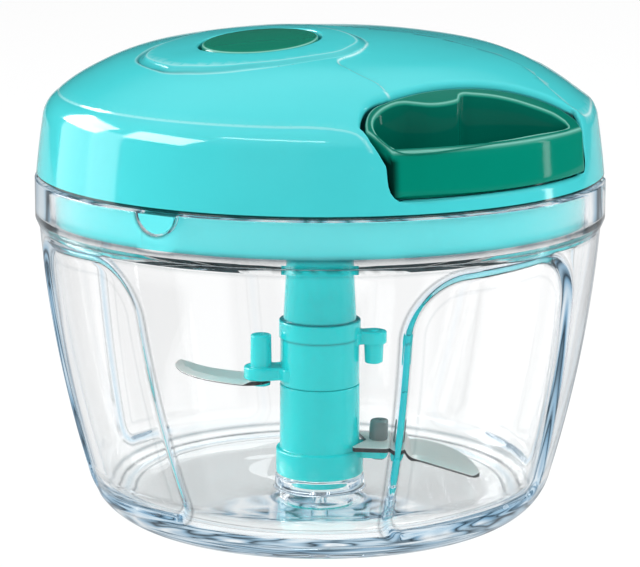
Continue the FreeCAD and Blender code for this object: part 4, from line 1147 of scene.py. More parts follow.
    def tint(self, gap: Array, heights: Array, firm: Array) -> Array:
        """Return the painted refraction lines and painted shade rings at places on the outer wall.

        Args:
            gap: each place's distance from the nearest panel's edge.
            heights: each place's height.
            firm: how crisp the panels' edges are there.

        Returns:
            The colours.
        """
        colours = np.ones(gap.shape + (4,))
        shown = between(*self.line_span, heights) * (self.faint + (1 - self.faint) * firm)
        for line in self.edge_lines:
            line.lay(colours, gap, shown)
        for line in self.ring_lines:
            line.lay(colours, heights)
        return colours

    def outer_sheet(self, shell: Shell) -> None:
        """Add the outside of the wall with its grip panels, and the collar with its key notches."""
        sides = self.columns()
        profile = self.outside()
        turned = np.broadcast_to(profile[:, None], (len(profile), len(sides), 2))
        angles = np.broadcast_to(sides, turned.shape[:2])
        gap = self.panel_gap(angles, turned)
        firm = self.firmness(angles)
        edge = self.panel_edge * (1 + self.soft_share * (1 - firm))
        depth = (1 - smooth(-0.5, 0.5, gap / edge)) * self.panel_depth
        bead = bell(gap, self.bead_width) * self.bead_rise * firm
        bead *= between(*self.bead_span, turned[..., 1])
        wall = np.arange(len(profile)) < np.argmax(profile[:, 0] > self.top_radius)
        radius = turned[..., 0] - (depth - bead) * (wall & (profile[:, 1] > 0.5))[:, None]
        heights = self.notched(angles, turned)
        tints = self.tint(gap, turned[..., 1], firm)
        # A painted shade line along each key notch's edge.
        turn = self.key_turns(angles)
        away = np.hypot(turn * self.collar_radius, heights - self.key_centre) - self.notch_radius
        outer = (np.abs(turn) < self.key_reach) & (turned[..., 0] > self.collar_bore + 0.5)
        self.key_line.lay(tints, away, outer)
        places = np.stack((radius * np.sin(angles), -radius * np.cos(angles), heights), axis=2)
        shell.grid(places, True, tints)

    def inner_sheet(self, shell: Shell) -> None:
        """Add the inside of the wall with faint painted shade bands, and the floor with its boss, its pin's
        hole and painted refraction rings.
        """
        inside = self.inside()
        lines = np.ones((len(inside), 4))
        for line in self.floor_lines:
            line.lay(lines, inside[:, 0], inside[:, 1] < self.foot_height + 1)
        # Faint painted shade bands on the inner wall.
        around = np.arange(self.inner_columns) * TURN / self.inner_columns
        waves = np.sin(around * 11) + 0.6 * np.sin(around * 17 + 1)
        bands = np.outer(between(*self.band_span, inside[:, 1]), self.band_shade * smooth(-0.25, 0.25, waves))
        rows = np.stack((inside[:, :1] * np.cos(around), inside[:, :1] * np.sin(around),
                         inside[:, 1:] + 0 * around), axis=2)
        shell.grid(rows, True, lines[:, None] * (1 - bands)[..., None])

    def build(self) -> None:
        """Build the bowl and its pin."""
        shell = Shell()
        self.outer_sheet(shell)
        self.inner_sheet(shell)
        bowl = shell.build("clear_bowl_shell", CLEAR, "bowl_body", 40, ("bowl",))
        bowl.visible_shadow = False
        bowl.visible_diffuse = False
        pin = Shell()
        radius = self.pin_radius - self.pin_gap
        pin.lathe(Profile(0, self.pin_foot).to(radius, self.pin_foot).to(radius, self.pin_top, 0.5)
                  .to(0, self.pin_top).line(), 48)
        pin.build("steel_pivot_pin", PIN_STEEL, "bowl_body", replaces=("bowl_pivot_pin",))


@dataclass
class Column:
    """The turning column: a lower and an upper sleeve, each with its blade, its ear and its pin.

    A collar is a radius, a lower and an upper height; an ear is a boss's middle and its underside's height.
    """

    bore: float = 1.65
    foot_radius: float = 6.8
    foot_bottom: float = 6.3
    lower_collar: Place = (10.2, 8.9, 14.9)
    lower_radius: float = 9.28
    joint: float = 30.0
    joint_gap: float = 0.05
    well_radius: float = 6.05
    well_floor: float = 22.7
    spigot_radius: float = 6.0
    spigot_foot: float = 23.0
    upper_radius: float = 9.2
    upper_collar: Place = (9.47, 40.9, 45.1)
    neck_foot: float = 8.45
    neck_radius: float = 7.8
    neck_start: float = 57.6
    neck_top: float = 64.2
    head_flats: float = 11.0
    head_height: float = 9.0
    line_width: float = 0.22
    ear_thickness: float = 2.9
    ear_radius: float = 4.0
    upper_ear: Place = (-13.6, -1.0, 31.3)
    lower_ear: Place = (14.0, 0.0, 12.8)
    peg_ear: Place = (12.5, 0.0, 39.4)
    peg_ear_radius: float = 3.0
    peg_foot: float = 34.7
    peg_radius: float = 2.1
    peg_root_radius: float = 2.3
    blade_thickness: float = 1.0
    blade_edge: float = 0.06
    upper_grind: Pair = (1.6, 0.75)
    lower_grind: Pair = (1.8, 0.5)
    lower_bend: Pair = (18.2, 21.4)
    lower_bend_drop: float = 2.0
    pin_radius: float = 1.5
    pin_head_radius: float = 2.2
    post_radius: float = 2.5
    post_top: float = 41.6
    cap_height: float = 4.5

    def ear(self, shell: Shell, place: Place, radius: float) -> None:
        """Add an ear that narrows to the column and ends in a round boss.

        Args:
            shell: the sleeve's shell.
            place: the boss's middle and its underside's height.
            radius: the boss's radius.
        """
        x, y, bottom = place
        out = math.hypot(x, y)
        outline = [(4.0, radius + 1.2), (8.2, radius + 1.2), (9.6, radius - 0.6),
                   (out - radius * 0.6, radius - 0.4)]
        boss = radius * circle(np.radians(np.arange(-100, 101, 12))) + (out, 0)
        points = [*((a, -b) for a, b in outline), *boss, *outline[::-1]]
        loop = spaced(curved(points, 0.6, True), 0.8)
        turn = math.atan2(y, x)
        loop = loop @ np.array(((math.cos(turn), math.sin(turn)), (-math.sin(turn), math.cos(turn))))
        shell.plate([loop], level(bottom + self.ear_thickness), level(bottom), 0.45, 0.3, 1.5)

    def lower_sleeve(self) -> None:
        """Build the lower sleeve."""
        collar, low, high = self.lower_collar
        top = self.joint - self.joint_gap
        line = Profile(self.bore, self.foot_bottom).to(self.foot_radius, self.foot_bottom, 0.4)
        line.to(self.foot_radius, low, 0.3).to(collar, low, 0.5).to(collar, high, 0.6)
        line.to(self.lower_radius, high, 0.25).to(self.lower_radius, top, 0.25).to(self.well_radius, top)
        line.to(self.well_radius, self.well_floor).to(self.bore, self.well_floor)
        shell = Shell()
        shell.lathe(line.to(self.bore, self.foot_bottom).line())
        self.ear(shell, self.lower_ear, self.ear_radius)
        shell.build("lower_column_sleeve", COLUMN_PLASTIC, "blade_carrier", replaces=("lower_column",))

    def upper_sleeve(self) -> None:
        """Build the upper sleeve with its peg and hexagonal head, and painted shade lines at its collar's
        edges.
        """
        collar, low, high = self.upper_collar
        start, radius = self.joint + self.joint_gap, self.upper_radius
        line = Profile(0, self.spigot_foot).to(self.spigot_radius, self.spigot_foot)
        line.to(self.spigot_radius, start).to(radius, start, 0.3)
        line.to(radius, low - 0.7).to(radius, low - 0.35).to(radius, low)
        line.to(collar, low, 0.2).to(collar, low + 0.5).to(collar, high, 0.4)
        line.to(self.neck_foot, high, 0.3).to(self.neck_foot, high + 0.4)
        line.to(self.neck_radius, self.neck_start).to(self.neck_radius, self.neck_top, 0.3)
        points = line.to(0, self.neck_top).line()
        # Painted shade lines just under the collar and just over it, on the outer faces only.
        lines = sum(bell(points[:, 1] - height, self.line_width) for height in (low - 0.1, high + 0.05))
        lines *= points[:, 0] > self.neck_radius + 0.2
        shell = Shell()
        shell.lathe(points, tint=shaded(points, lines.clip(0, 1)))
        head = spaced(circle(np.radians(np.arange(0, 360, 60))) * self.head_flats / math.sqrt(3), 3)
        shell.plate([head], level(self.neck_top + self.head_height), level(self.neck_top - 1), 0.4, 0.1, 3)
        self.ear(shell, self.upper_ear, self.ear_radius)
        self.ear(shell, self.peg_ear, self.peg_ear_radius)
        top = self.peg_ear[2] + 0.2
        shell.lathe(Profile(0, self.peg_foot).to(self.peg_radius, self.peg_foot, 0.5)
                    .to(self.peg_root_radius, top).to(0, top).line(), 40, self.peg_ear[:2])
        high = self.peg_ear[2] + self.ear_thickness
        shell.lathe(Profile(0, high - 0.5).to(1.0, high - 0.5).to(1.0, high + 0.15, 0.2)
                    .to(0, high + 0.15).line(), 24, self.peg_ear[:2])
        shell.build("upper_column_sleeve", COLUMN_PLASTIC, "blade_carrier", replaces=("upper_column",))

    def blade(self, name: str, loop: Array, top: Height, bottom: Height, spacing: float,
              node: str) -> None:
        """Build a blade.

        Args:
            name: the piece's name.
            loop: its plan.
            top: gives its top face's height.
            bottom: gives its bottom face's height.
            spacing: the distance between the points of its faces.
            node: the CAD node that it stands for.
        """
        shell = Shell()
        # The blade's outer wall takes painted shade in full.
        shell.plate([leftward(loop)], top, bottom, self.blade_edge, self.blade_edge, spacing, side_shade=1.0)
        shell.build(name, BLADE_STEEL, "blade_carrier", 12, (node,))

    def upper_blade(self) -> None:
        """Build the upper blade, thinned along its cutting edge."""
        line = Profile(-17.7, -5.0).arc(-28.5, 1.9, 32, 10).arc(-34.6, 16.8, 22, 14, 0.5)
        line.to(-33.5, 17.8, 0.6).arc(-26.5, 9.6, -60, 8).arc(-17.9, 5.0, -34, 8)
        line.to(-16.4, 5.0).arc(-16.4, -5.0, 5.0, 14)
        edge = Profile(-17.7, -5.0).arc(-28.5, 1.9, 32, 20).arc(-34.6, 16.8, 22, 24).line()
        bottom = self.upper_ear[2] - self.blade_thickness
        width, depth = self.upper_grind

        def top(places: Array) -> Array:
            gap = np.abs(distance(places, edge, False)[0])
            return bottom + self.blade_thickness * (1 - depth + depth * np.clip(gap / width, 0, 1))

        loop = spaced(line.loop()[::-1], 0.8)
        self.blade("upper_blade_plate", loop, top, level(bottom), 1.2, "upper_blade")

    def lower_blade(self) -> None:
        """Build the lower blade, bent down past its ear and thinned along its cutting edge."""
        line = Profile(18.2, -9.8).to(22.4, -9.8, 3.0).to(34.5, -24.0, 0.8).to(35.8, -22.4, 0.6)
        line.to(35.8, -20.6).arc(31.8, -3.8, -60, 12).arc(23.3, 6.6, -25, 10, 2.0)
        line.to(9.0, 6.0, 1.0).to(10.9, -1.0, 0.5).to(7.0, -8.4, 1.0)
        edge = Profile(22.4, -9.8).to(34.5, -24.0).line()
        high = self.lower_ear[2] + self.ear_thickness + self.blade_thickness
        width, depth = self.lower_grind

        def bottom(places: Array) -> Array:
            drop = self.lower_bend_drop * smooth(*self.lower_bend, places[:, 0])
            return high - self.blade_thickness - drop

        def top(places: Array) -> Array:
            gap = np.abs(distance(places, edge, False)[0])
            return bottom(places) + self.blade_thickness - np.clip(1 - gap / width, 0, 1) * depth

        self.blade("lower_blade_plate", spaced(line.loop(), 0.8), top, bottom, 0.8, "lower_blade")

    def pins(self) -> None:
        """Build both blade pins."""
        x, y, bottom = self.upper_ear
        low, top, high = bottom - 1.7, bottom + self.ear_thickness - 0.05, self.post_top
        line = Profile(0, low).to(self.pin_head_radius, low, 0.4).to(self.pin_head_radius, bottom - 1.0)
        line.to(self.pin_radius, bottom - 1.0).to(self.pin_radius, top).to(self.post_radius, top)
        line.to(self.post_radius - 0.1, high, 0.5).to(0.7, high).to(0.6, high - 0.3).to(0, high - 0.3)
        shell = Shell()
        shell.lathe(line.line(), 48, (x, y))
        shell.build("upper_blade_post", COLUMN_PLASTIC, "blade_carrier", replaces=("upper_blade_pin",))
        x, y, bottom = self.lower_ear
        low, cap = bottom - 0.7, bottom + self.ear_thickness + self.blade_thickness
        high = cap + self.cap_height
        line = Profile(0, low).to(self.pin_head_radius, low, 0.3).to(self.pin_head_radius, bottom)
        line.to(self.pin_radius, bottom).to(self.pin_radius, cap).to(self.post_radius, cap, 0.15)
        line.to(self.post_radius - 0.05, high - 2.0).to(self.pin_head_radius, high, 0.6)
        line.to(0.45, high).to(0.4, high - 0.3).to(0, high - 0.3)
        shell = Shell()
        shell.lathe(line.line(), 48, (x, y))
        shell.build("lower_blade_cap", GREY_PLASTIC, "blade_carrier", replaces=("lower_blade_pin",))

    def build(self) -> None:
        """Build every piece that turns in the bowl."""
        self.lower_sleeve()
        self.upper_sleeve()
        self.upper_blade()
        self.lower_blade()
        self.pins()


@dataclass
class LidCover:
    """The lid's domed cover with its creases, its raised island, and the pockets for badge and handle."""

    crown_height: float = 112.2
    crown_bow: float = 190.0
    crown_join: float = 38.0
    crown_round: float = 50.0
    crease: Pair = (59.3, 98.3)
    shoulder: Pair = (63.0, 92.6)
    shoulder_round: float = 7.0
    rim: Pair = (64.6, 80.2)
    side_bow: float = 200.0
    lip: Pair = (64.0, 79.7)
    inner_radius: float = 62.2
    inner_top: float = 84.0
    pull_angle: float = -51.0
    pocket_floor: float = 83.5
    pocket_back: float = 47.0
    pocket_back_right: float = 53.6
    pocket_left: Pair = (-27.9, -30.5)
    flare: Pair = (91.0, 97.0)
    pocket_right: float = 28.2
    pocket_right_top: float = 94.0
    pocket_bow: float = 180.0
    pocket_round: float = 1.0
    corner_heights: Row = (0.35, 1.0, 2.0, 3.2)
    corner_shrinks: Row = (1.9, 1.0, 0.4, 0.1)
    corner_turn: float = 0.012
    front_steps: int = 70
    pocket_rows: Row = (0, 0.06, 0.2, 0.42, 0.7, 1.0, 1.5)
    wall_rows: Row = (0, 0.04, 0.12, 0.3, 0.6, 1.0)
    wall_shades: Row = (0, 0.95, 0.9, 0.7, 0.45, 0.25)
    badge_place: Pair = (-13.4, -14.7)
    badge_radius: float = 13.0
    badge_gap: float = 0.7
    badge_seat: float = 108.4
    badge_round: float = 0.45
    badge_rows: Row = (0, 0.03, 0.12, 0.3, 0.55)
    rim_shade: float = 0.4
    ring_row: float = 1.1
    ring_gap: float = 3.0
    clearance: float = 0.15
    crease_rows: Row = (-0.5, -0.3, -0.15, 0, 0.15, 0.3, 0.5)
    island_rows: Row = (
        -0.6, -0.35, -0.15, 0, 0.15, 0.35, 0.7, 1.2, 1.7, 1.95, 2.15, 2.35, 2.55, 2.8)
    island_middle: Pair = (-14.8, -15.1)
    island_slope: float = 2.3
    island_rise: float = 0.62
    island_step: float = 0.12
    island_trough: float = 0.75
    swing_rise: float = 0.38
    rear_drop: float = 0.4
    front_rise: float = 0.2

    def __post_init__(self) -> None:
        """Work out the skin's profile, how far along it each radius is, its creases and its openings."""
        drop = self.crown_bow - math.sqrt(self.crown_bow ** 2 - self.crown_join ** 2)
        line = Profile(0, self.crown_height)
        line.arc(self.crown_join, self.crown_height - drop, self.crown_bow, 40)
        line.arc(*self.crease, self.crown_round, 30).arc(*self.shoulder, self.shoulder_round, 14)
        self.profile = line.arc(*self.rim, self.side_bow, 20).line()
        steps = np.hypot(*np.diff(self.profile, axis=0).T)
        self.reach = np.concatenate(((0,), steps.cumsum()))
        slope = np.gradient(self.profile, axis=0)
        slope /= np.hypot(slope[:, 0], slope[:, 1])[:, None]
        self.outward = np.column_stack((-slope[:, 1], slope[:, 0]))
        self.lines = self.creases()
        edge, self.square = self.pocket_edge()
        self.flat_edge = self.unfold(edge)
        self.flat_badge = self.unfold(self.badge_loop(self.badge_radius + self.badge_gap))

    def unfold(self, plan: Array) -> Array:
        """Lay plan places on the skin out flat.

        Args:
            plan: places seen from above.

        Returns:
            The places on the unfolded skin.
        """
        radius = np.hypot(plan[:, 0], plan[:, 1])
        along = np.interp(radius, self.profile[:, 0], self.reach)
        return plan * (along / np.maximum(radius, 1e-9))[:, None]

    def fold(self, flat: Array) -> tuple[Array, Array]:
        """Put unfolded places back on the skin.

        Args:
            flat: places on the unfolded skin.

        Returns:
            Their places in space and the skin's outward directions there.
        """
        along = np.hypot(flat[:, 0], flat[:, 1])
        way = flat / np.maximum(along, 1e-9)[:, None]
        radius, height, out, up = (np.interp(along, self.reach, line) for line in
                                   (*self.profile.T, *self.outward.T))
        places = np.column_stack((way * radius[:, None], height))
        return places, np.column_stack((way * out[:, None], up))

    def height_at(self, plan: Array) -> Array:
        """Return the plain dome's height at plan places."""
        return np.interp(np.hypot(plan[:, 0], plan[:, 1]), self.profile[:, 0], self.profile[:, 1])

    def badge_loop(self, radius: float) -> Array:
        """Return a circle about the badge's middle."""
        return np.array(self.badge_place) + radius * circle(np.arange(0, 360, 4) * TURN / 360)

    def across(self, plan: Array) -> Array:
        """Turn plan places into places along and across the pull."""
        turn = math.radians(self.pull_angle)
        return plan @ np.array(((math.cos(turn), -math.sin(turn)), (math.sin(turn), math.cos(turn))))

    def plan(self, along: Array) -> Array:
        """Turn places along and across the pull into plan places."""
        turn = math.radians(self.pull_angle)
        return along @ np.array(((math.cos(turn), math.sin(turn)), (-math.sin(turn), math.cos(turn))))

    def flared(self, height: Array) -> Array:
        """Return how much of the pocket's flare is reached at heights, from 0 to 1."""
        start, end = self.flare
        return np.clip((height - start) / (end - start), 0, 1)

    def side_edge(self, across: Array, heights: Array) -> Array:
        """Return the plan places where a wall, at places across the pull, meets the lid's side at heights."""
        radius = np.interp(-heights, -self.profile[:, 1], self.profile[:, 0])
        return self.plan(np.column_stack((np.sqrt(radius ** 2 - across ** 2), across)))

    def pocket_edge(self) -> tuple[Array, Array]:
        """Return the pocket's edge on the skin.

        Returns:
            The edge's plan places, run to the left, and at each the direction square to its wall.
        """
        low = self.pocket_floor
        heights = low + np.array((*self.corner_heights, *np.arange(4.5, self.flare[1] - low, 1.0)))
        drawn_in = np.interp(heights - low, self.corner_heights, self.corner_shrinks) * (heights < low + 4)
        foot, top_left = self.pocket_left
        left_side = self.side_edge(foot + (top_left - foot) * self.flared(heights) + drawn_in, heights)
        lower = heights < self.pocket_right_top
        right_side = self.side_edge(self.pocket_right - drawn_in[lower], heights[lower])
        start = math.atan2(left_side[0, 1], left_side[0, 0]) + self.corner_turn
        end = math.atan2(right_side[0, 1], right_side[0, 0]) - self.corner_turn
        radius = float(np.interp(-low, -self.profile[:, 1], self.profile[:, 0]))
        front = circle(np.linspace(start, end, self.front_steps)) * radius
        last_left, last_right = self.across(np.stack((left_side[-1], right_side[-1])))
        back = Profile(last_right[0] - 0.5, last_right[1]).to(self.pocket_back_right, last_right[1], 2.5)
        back.arc(self.pocket_back, top_left + 9.0, -self.pocket_bow, 40)
        back.arc(self.pocket_back + 3.6, top_left + 0.2, -8.0, 12, 2.5).to(last_left[0] - 0.5, last_left[1])
        rear = self.plan(spaced(back.line(6), 0.9, False))
        edge = np.concatenate((front, right_side, rear, left_side[::-1]))
        along = np.roll(edge, -1, axis=0) - np.roll(edge, 1, axis=0)
        square = np.column_stack((-along[:, 1], along[:, 0], 0 * along[:, 0]))
        square[:len(front)] = (0, 0, 1)
        return edge, square / np.linalg.norm(square, axis=1)[:, None]

    def creases(self) -> dict[str, Array]:
        """Return the plan lines of the creases in the crown.

        Returns:
            Each crease's line by name.
        """
        island = [(-40.8, -16.3), (-34.8, -29.7), (-28, -35.1), (-21.5, -37.6), (-15, -38), (-8.6, -37.4),
                  (-2.0, -35.0), (4.3, -31.6), (7.6, -27.4), (10.3, -18.9), (6.7, -8.2), (-2.3, 2.7),
                  (-11.0, 7.8), (-20.7, 10), (-27.6, 9.2), (-34, 0.9), (-38.3, -4.9)]
        swing = [(10.3, -18.9), (9.3, -24.5), (7.5, -29), (4.3, -33.1), (3.8, -35.2), (4.7, -37.7),
                 (8.5, -42.3), (12.2, -45.5), (14.3, -49.1), (15.5, -52.0)]
        rear = [(-14, 17.5), (-9.3, 15.5), (6.8, 5.2), (24.9, -0.5), (33.6, -6.7), (44.5, -13.1),
                (50.6, -20.9), (54.6, -23.3), (57.6, -22.2), (59.2, -19.0), (60.4, -13.6), (61.4, -2.5),
                (60.8, 8.0), (58.0, 20.0)]
        ring = self.crease[0] * circle(np.radians(np.arange(-92, -261, -6.0)))
        front = [(10.9, -62.4), (8.6, -61.2), (6.3, -60.3), *ring]
        return {"island": curved(island, 0.8, True), "swing": curved(swing, 0.7),
                "rear": curved(rear, 0.8), "front": curved(front, 0.9)}

    def gaps(self, plan: Array) -> tuple[Array, ...]:
        """Return how far left of the island's, the swing's, the rear and the front crease places are."""
        return tuple(distance(plan, line, name == "island")[0] for name, line in self.lines.items())

    def behind(self, plan: Array, side: float, low: float, high: float) -> Array:
        """Return how much places belong to one side of the island.

        Args:
            plan: plan places on the skin.
            side: the side's angle in degrees.
            low: the share of that side where it starts to count.
            high: the share where it counts in full.

        Returns:
            How much each place belongs to it, from 0 to 1.
        """
        away = plan - self.island_middle
        turned = np.arctan2(away[:, 1], away[:, 0])
        return smooth(low, high, 0.5 + 0.5 * np.cos(turned - math.radians(side)))

    def relief(self, plan: Array) -> Array:
        """Return how far the crown's forms rise over the plain dome.

        Args:
            plan: plan places on the skin.

        Returns:
            The rises.
        """
        x, y = plan.T
        inside, swing, rear, front = self.gaps(plan)
        behind = self.behind(plan, 128, 0.35, 0.8)
        rise = smooth(0.0, self.island_slope, inside) * (self.island_rise - 0.25 * behind)
        rise += np.clip(inside / 0.35, 0, 1) * self.island_step * (1 - behind)
        rise -= between(0.0, 0.7, 1.2, self.island_slope, inside) * self.island_trough * behind
        near = (1 - smooth(4, 22, np.abs(swing))) * (1 - smooth(-20.0, -16.0, y))
        rise += smooth(-0.45, 0.45, -swing) * near * self.swing_rise * (inside < 0)
        fade = smooth(-13, 2, x) * (1 - smooth(3, 20, y) * (x > 50))
        rise -= smooth(-0.5, 0.5, rear) * self.rear_drop * fade * (1 - smooth(6, 26, rear))
        band = between(-0.3, 0.3, 2, 9, -front) * (1 - smooth(1.0, 8.0, x)) * (np.hypot(x, y) < 66)
        return rise + band * self.front_rise

    def tint(self, plan: Array) -> Array:
        """Return the painted highlight and the painted shade on the cover at places on it.

        Args:
            plan: the places seen from above.

        Returns:
            Colours whose red is the painted highlight and whose green is the painted shade.
        """
        tint = np.zeros((len(plan), 4))
        inside, swing, rear, front = self.gaps(plan)
        # Painted highlights along the island's two edge lines and the swing, rear and front creases.
        for gap, width, share in ((inside, 0.26, 0.45), (inside - 2.35, 0.22, 0.5), (swing, 0.22, 0.85),
                                  (rear - 0.2, 0.3, 0.95), (front, 0.16, 0.45)):
            tint[:, 0] = np.maximum(tint[:, 0], bell(gap, width) * share)
        # Painted shade in the band around the island's edge, deeper at its back.
        tint[:, 1] = between(0.3, 0.7, 1.5, 2.1, inside) * 0.2
        tint[:, 1] += bell(inside - 0.35, 0.3) * 0.5 * self.behind(plan, 150, 0.2, 0.7)
        return tint

    def scattered(self, openings: Sequence[Array], ring: Array, limit: float) -> list[Array]:
        """Return the skin's own points: rows beside the creases, and rings in between.

        Args:
            openings: the loops around the pocket and the badge, unfolded.
            ring: the places of the outermost ring, on a circle of radius 1.
            limit: the outermost ring's radius.

        Returns:
            Rows of unfolded places clear of the openings and the outermost ring.
        """
        rows = []
        for name, line in self.lines.items():
            closed = name == "island"
            offsets = self.island_rows if closed else self.crease_rows
            rows.extend(beside(self.unfold(line), offset, closed) for offset in offsets)
        for reach in np.arange(2 * self.ring_row, limit - 4 * self.clearance, self.ring_row):
            step = max(1, round(self.ring_gap / max(reach * TURN / len(ring), 0.3)))
            rows.append(ring[::step] * reach)
        rows.append(np.zeros((1, 2)))
        kept = []
        for row in rows:
            outside = np.min([-distance(row, loop, True)[0] for loop in openings], axis=0)
            within = np.hypot(row[:, 0], row[:, 1]) < limit - 2 * self.clearance
            kept.append(row[(outside > self.clearance) & within])
        return kept

    def build(self) -> None:
        """Build the cover."""
        pocket_rims = [beside(self.flat_edge, -share * self.pocket_round, True) for share in self.pocket_rows]
        badge_rims = [beside(self.flat_badge, -gap, True) for gap in self.badge_rows]
        openings = [pocket_rims[-1], badge_rims[-1]]
        ring = circle(np.arange(0, 360, 1.5) * TURN / 360)
        limit = self.reach[-1] - self.rim_shade
        edges = loop_edges((*openings, ring))
        places = np.concatenate((*openings, ring * limit, *self.scattered(openings, ring, limit)))
        flat, triangles = triangles_of(thinned(places, len(edges)), edges)
        middle = flat[triangles].mean(1)
        open_air = np.max([distance(middle, loop, True)[0] for loop in openings], axis=0) > 0
        shell = Shell()
        places = self.skin(flat)
        shell.add(places, triangles[~open_air], self.tint(places[:, :2]))
        for rims in (pocket_rims, badge_rims):
            sheet = np.stack([self.skin(rim) for rim in rims])
            shell.grid(sheet, True, self.tint(sheet.reshape(-1, 3)[:, :2]))
        # The side's lowest strip is in painted shade, a dark line above the seam.
        sheet = np.stack([self.fold(ring * reach)[0] for reach in (limit, limit + 0.1, self.reach[-1])])
        shell.grid(sheet, True, shaded(sheet, np.array(((0,), (1,), (1,)))))
        self.walls(shell)
        # The lip and the rim's inside are in painted shade.
        low = Profile(*self.rim).to(*self.lip).to(self.inner_radius, self.lip[1])
        low = low.to(self.inner_radius, self.inner_top).line()
        shell.lathe(low, len(ring), tint=shaded(low, 1.0))
        shell.build("lid_cover_shell", LID_PLASTIC, "lid", 38, ("lid_top_cover",))

    def skin(self, flat: Array) -> Array:
        """Return unfolded places in space, with the crown's forms and the rounded edges of its openings.

        Args:
            flat: places on the unfolded skin.

        Returns:
            The places.
        """
        places, outward = self.fold(flat)
        places = places + outward * self.relief(places[:, :2])[:, None]
        gap, nearest = distance(flat, self.flat_edge, True)
        wall = self.square[nearest]
        inward = outward - (outward * wall).sum(1)[:, None] * wall
        inward /= np.maximum(np.linalg.norm(inward, axis=1), 1e-9)[:, None]
        places -= inward * rounding_drop(np.maximum(-gap, 0), self.pocket_round)[:, None]
        gap, _ = distance(flat, self.flat_badge, True)
        places[:, 2] -= rounding_drop(np.maximum(-gap, 0), self.badge_round)
        return places

    def walls(self, shell: Shell) -> None:
        """Add the pocket's walls and floor, and the badge's seat, darkened with painted shade.

        Args:
            shell: the cover's shell.
        """
        top = self.skin(self.flat_edge)
        low = self.across(top[:, :2])
        on_floor = top[:, 2] < self.pocket_floor + 0.4
        left_side = (low[:, 1] < 0) & ~on_floor & (low[:, 0] > self.pocket_back + 4.0)
        low[on_floor, 0] -= 2.0
        low[left_side, 1] = self.pocket_left[0] + 0.2
        floor = np.column_stack((self.plan(low), np.full(len(low), self.pocket_floor)))
        shares = np.array(self.wall_rows)[:, None, None]
        sheet = top[None] * (1 - shares) + floor[None] * shares
        shell.grid(sheet, True, shaded(sheet, np.array(self.wall_shades)[:, None]))
        plan, triangles = triangles_of(floor[:, :2], loop_edges((floor,)))
        inside = distance(plan[triangles].mean(1), floor[:, :2], True)[0] > 0
        shell.add(np.column_stack((plan, np.full(len(plan), self.pocket_floor))), triangles[inside],
                  shaded(plan, self.wall_shades[-1]))
        rim = self.skin(self.flat_badge)
        seat = rim.copy()
        seat[:, 2] = self.badge_seat
        middle = np.broadcast_to((*self.badge_place, self.badge_seat), rim.shape)
        sheet = np.stack((rim, seat, middle))
        shell.grid(sheet, True, shaded(sheet, np.array(((0,), (1,), (1,)))))


def thinned(places: Array, fixed: int, least: float = 0.16) -> Array:
    """Leave out places that stand too close to an earlier one.

    Args:
        places: the places.
        fixed: how many of the first are always kept.
        least: the least distance that is kept.

    Returns:
        The places that are left.
    """
    taken: dict[tuple[int, int], list[int]] = {}
    kept = []
    for number, (x, y) in enumerate(places):
        column, row = math.floor(x / least), math.floor(y / least)
        near = (other for i in (-1, 0, 1) for j in (-1, 0, 1)
                for other in taken.get((column + i, row + j), ()))
        if number >= fixed and any(math.hypot(x - places[n, 0], y - places[n, 1]) < least for n in near):
            continue
        taken.setdefault((column, row), []).append(number)
        kept.append(number)
    return places[kept]


@dataclass
class Badge:
    """The bare green disc set in the lid's island."""

    lid: LidCover
    rise: float = 0.6
    rounding: float = 0.7
    under_rounding: float = 0.1
    # A painted highlight along its top edge.
    painted_highlight: float = 0.7

    def build(self) -> None:
        """Build the disc."""
        shell = Shell()
        shell.plate([self.lid.badge_loop(self.lid.badge_radius)], lambda p: self.lid.height_at(p) + self.rise,
                    level(self.lid.badge_seat), self.rounding, self.under_rounding, 2.0, self.painted_highlight)
        shell.build("badge_disc", BADGE_PLASTIC, "lid", replaces=("badge_plate",))


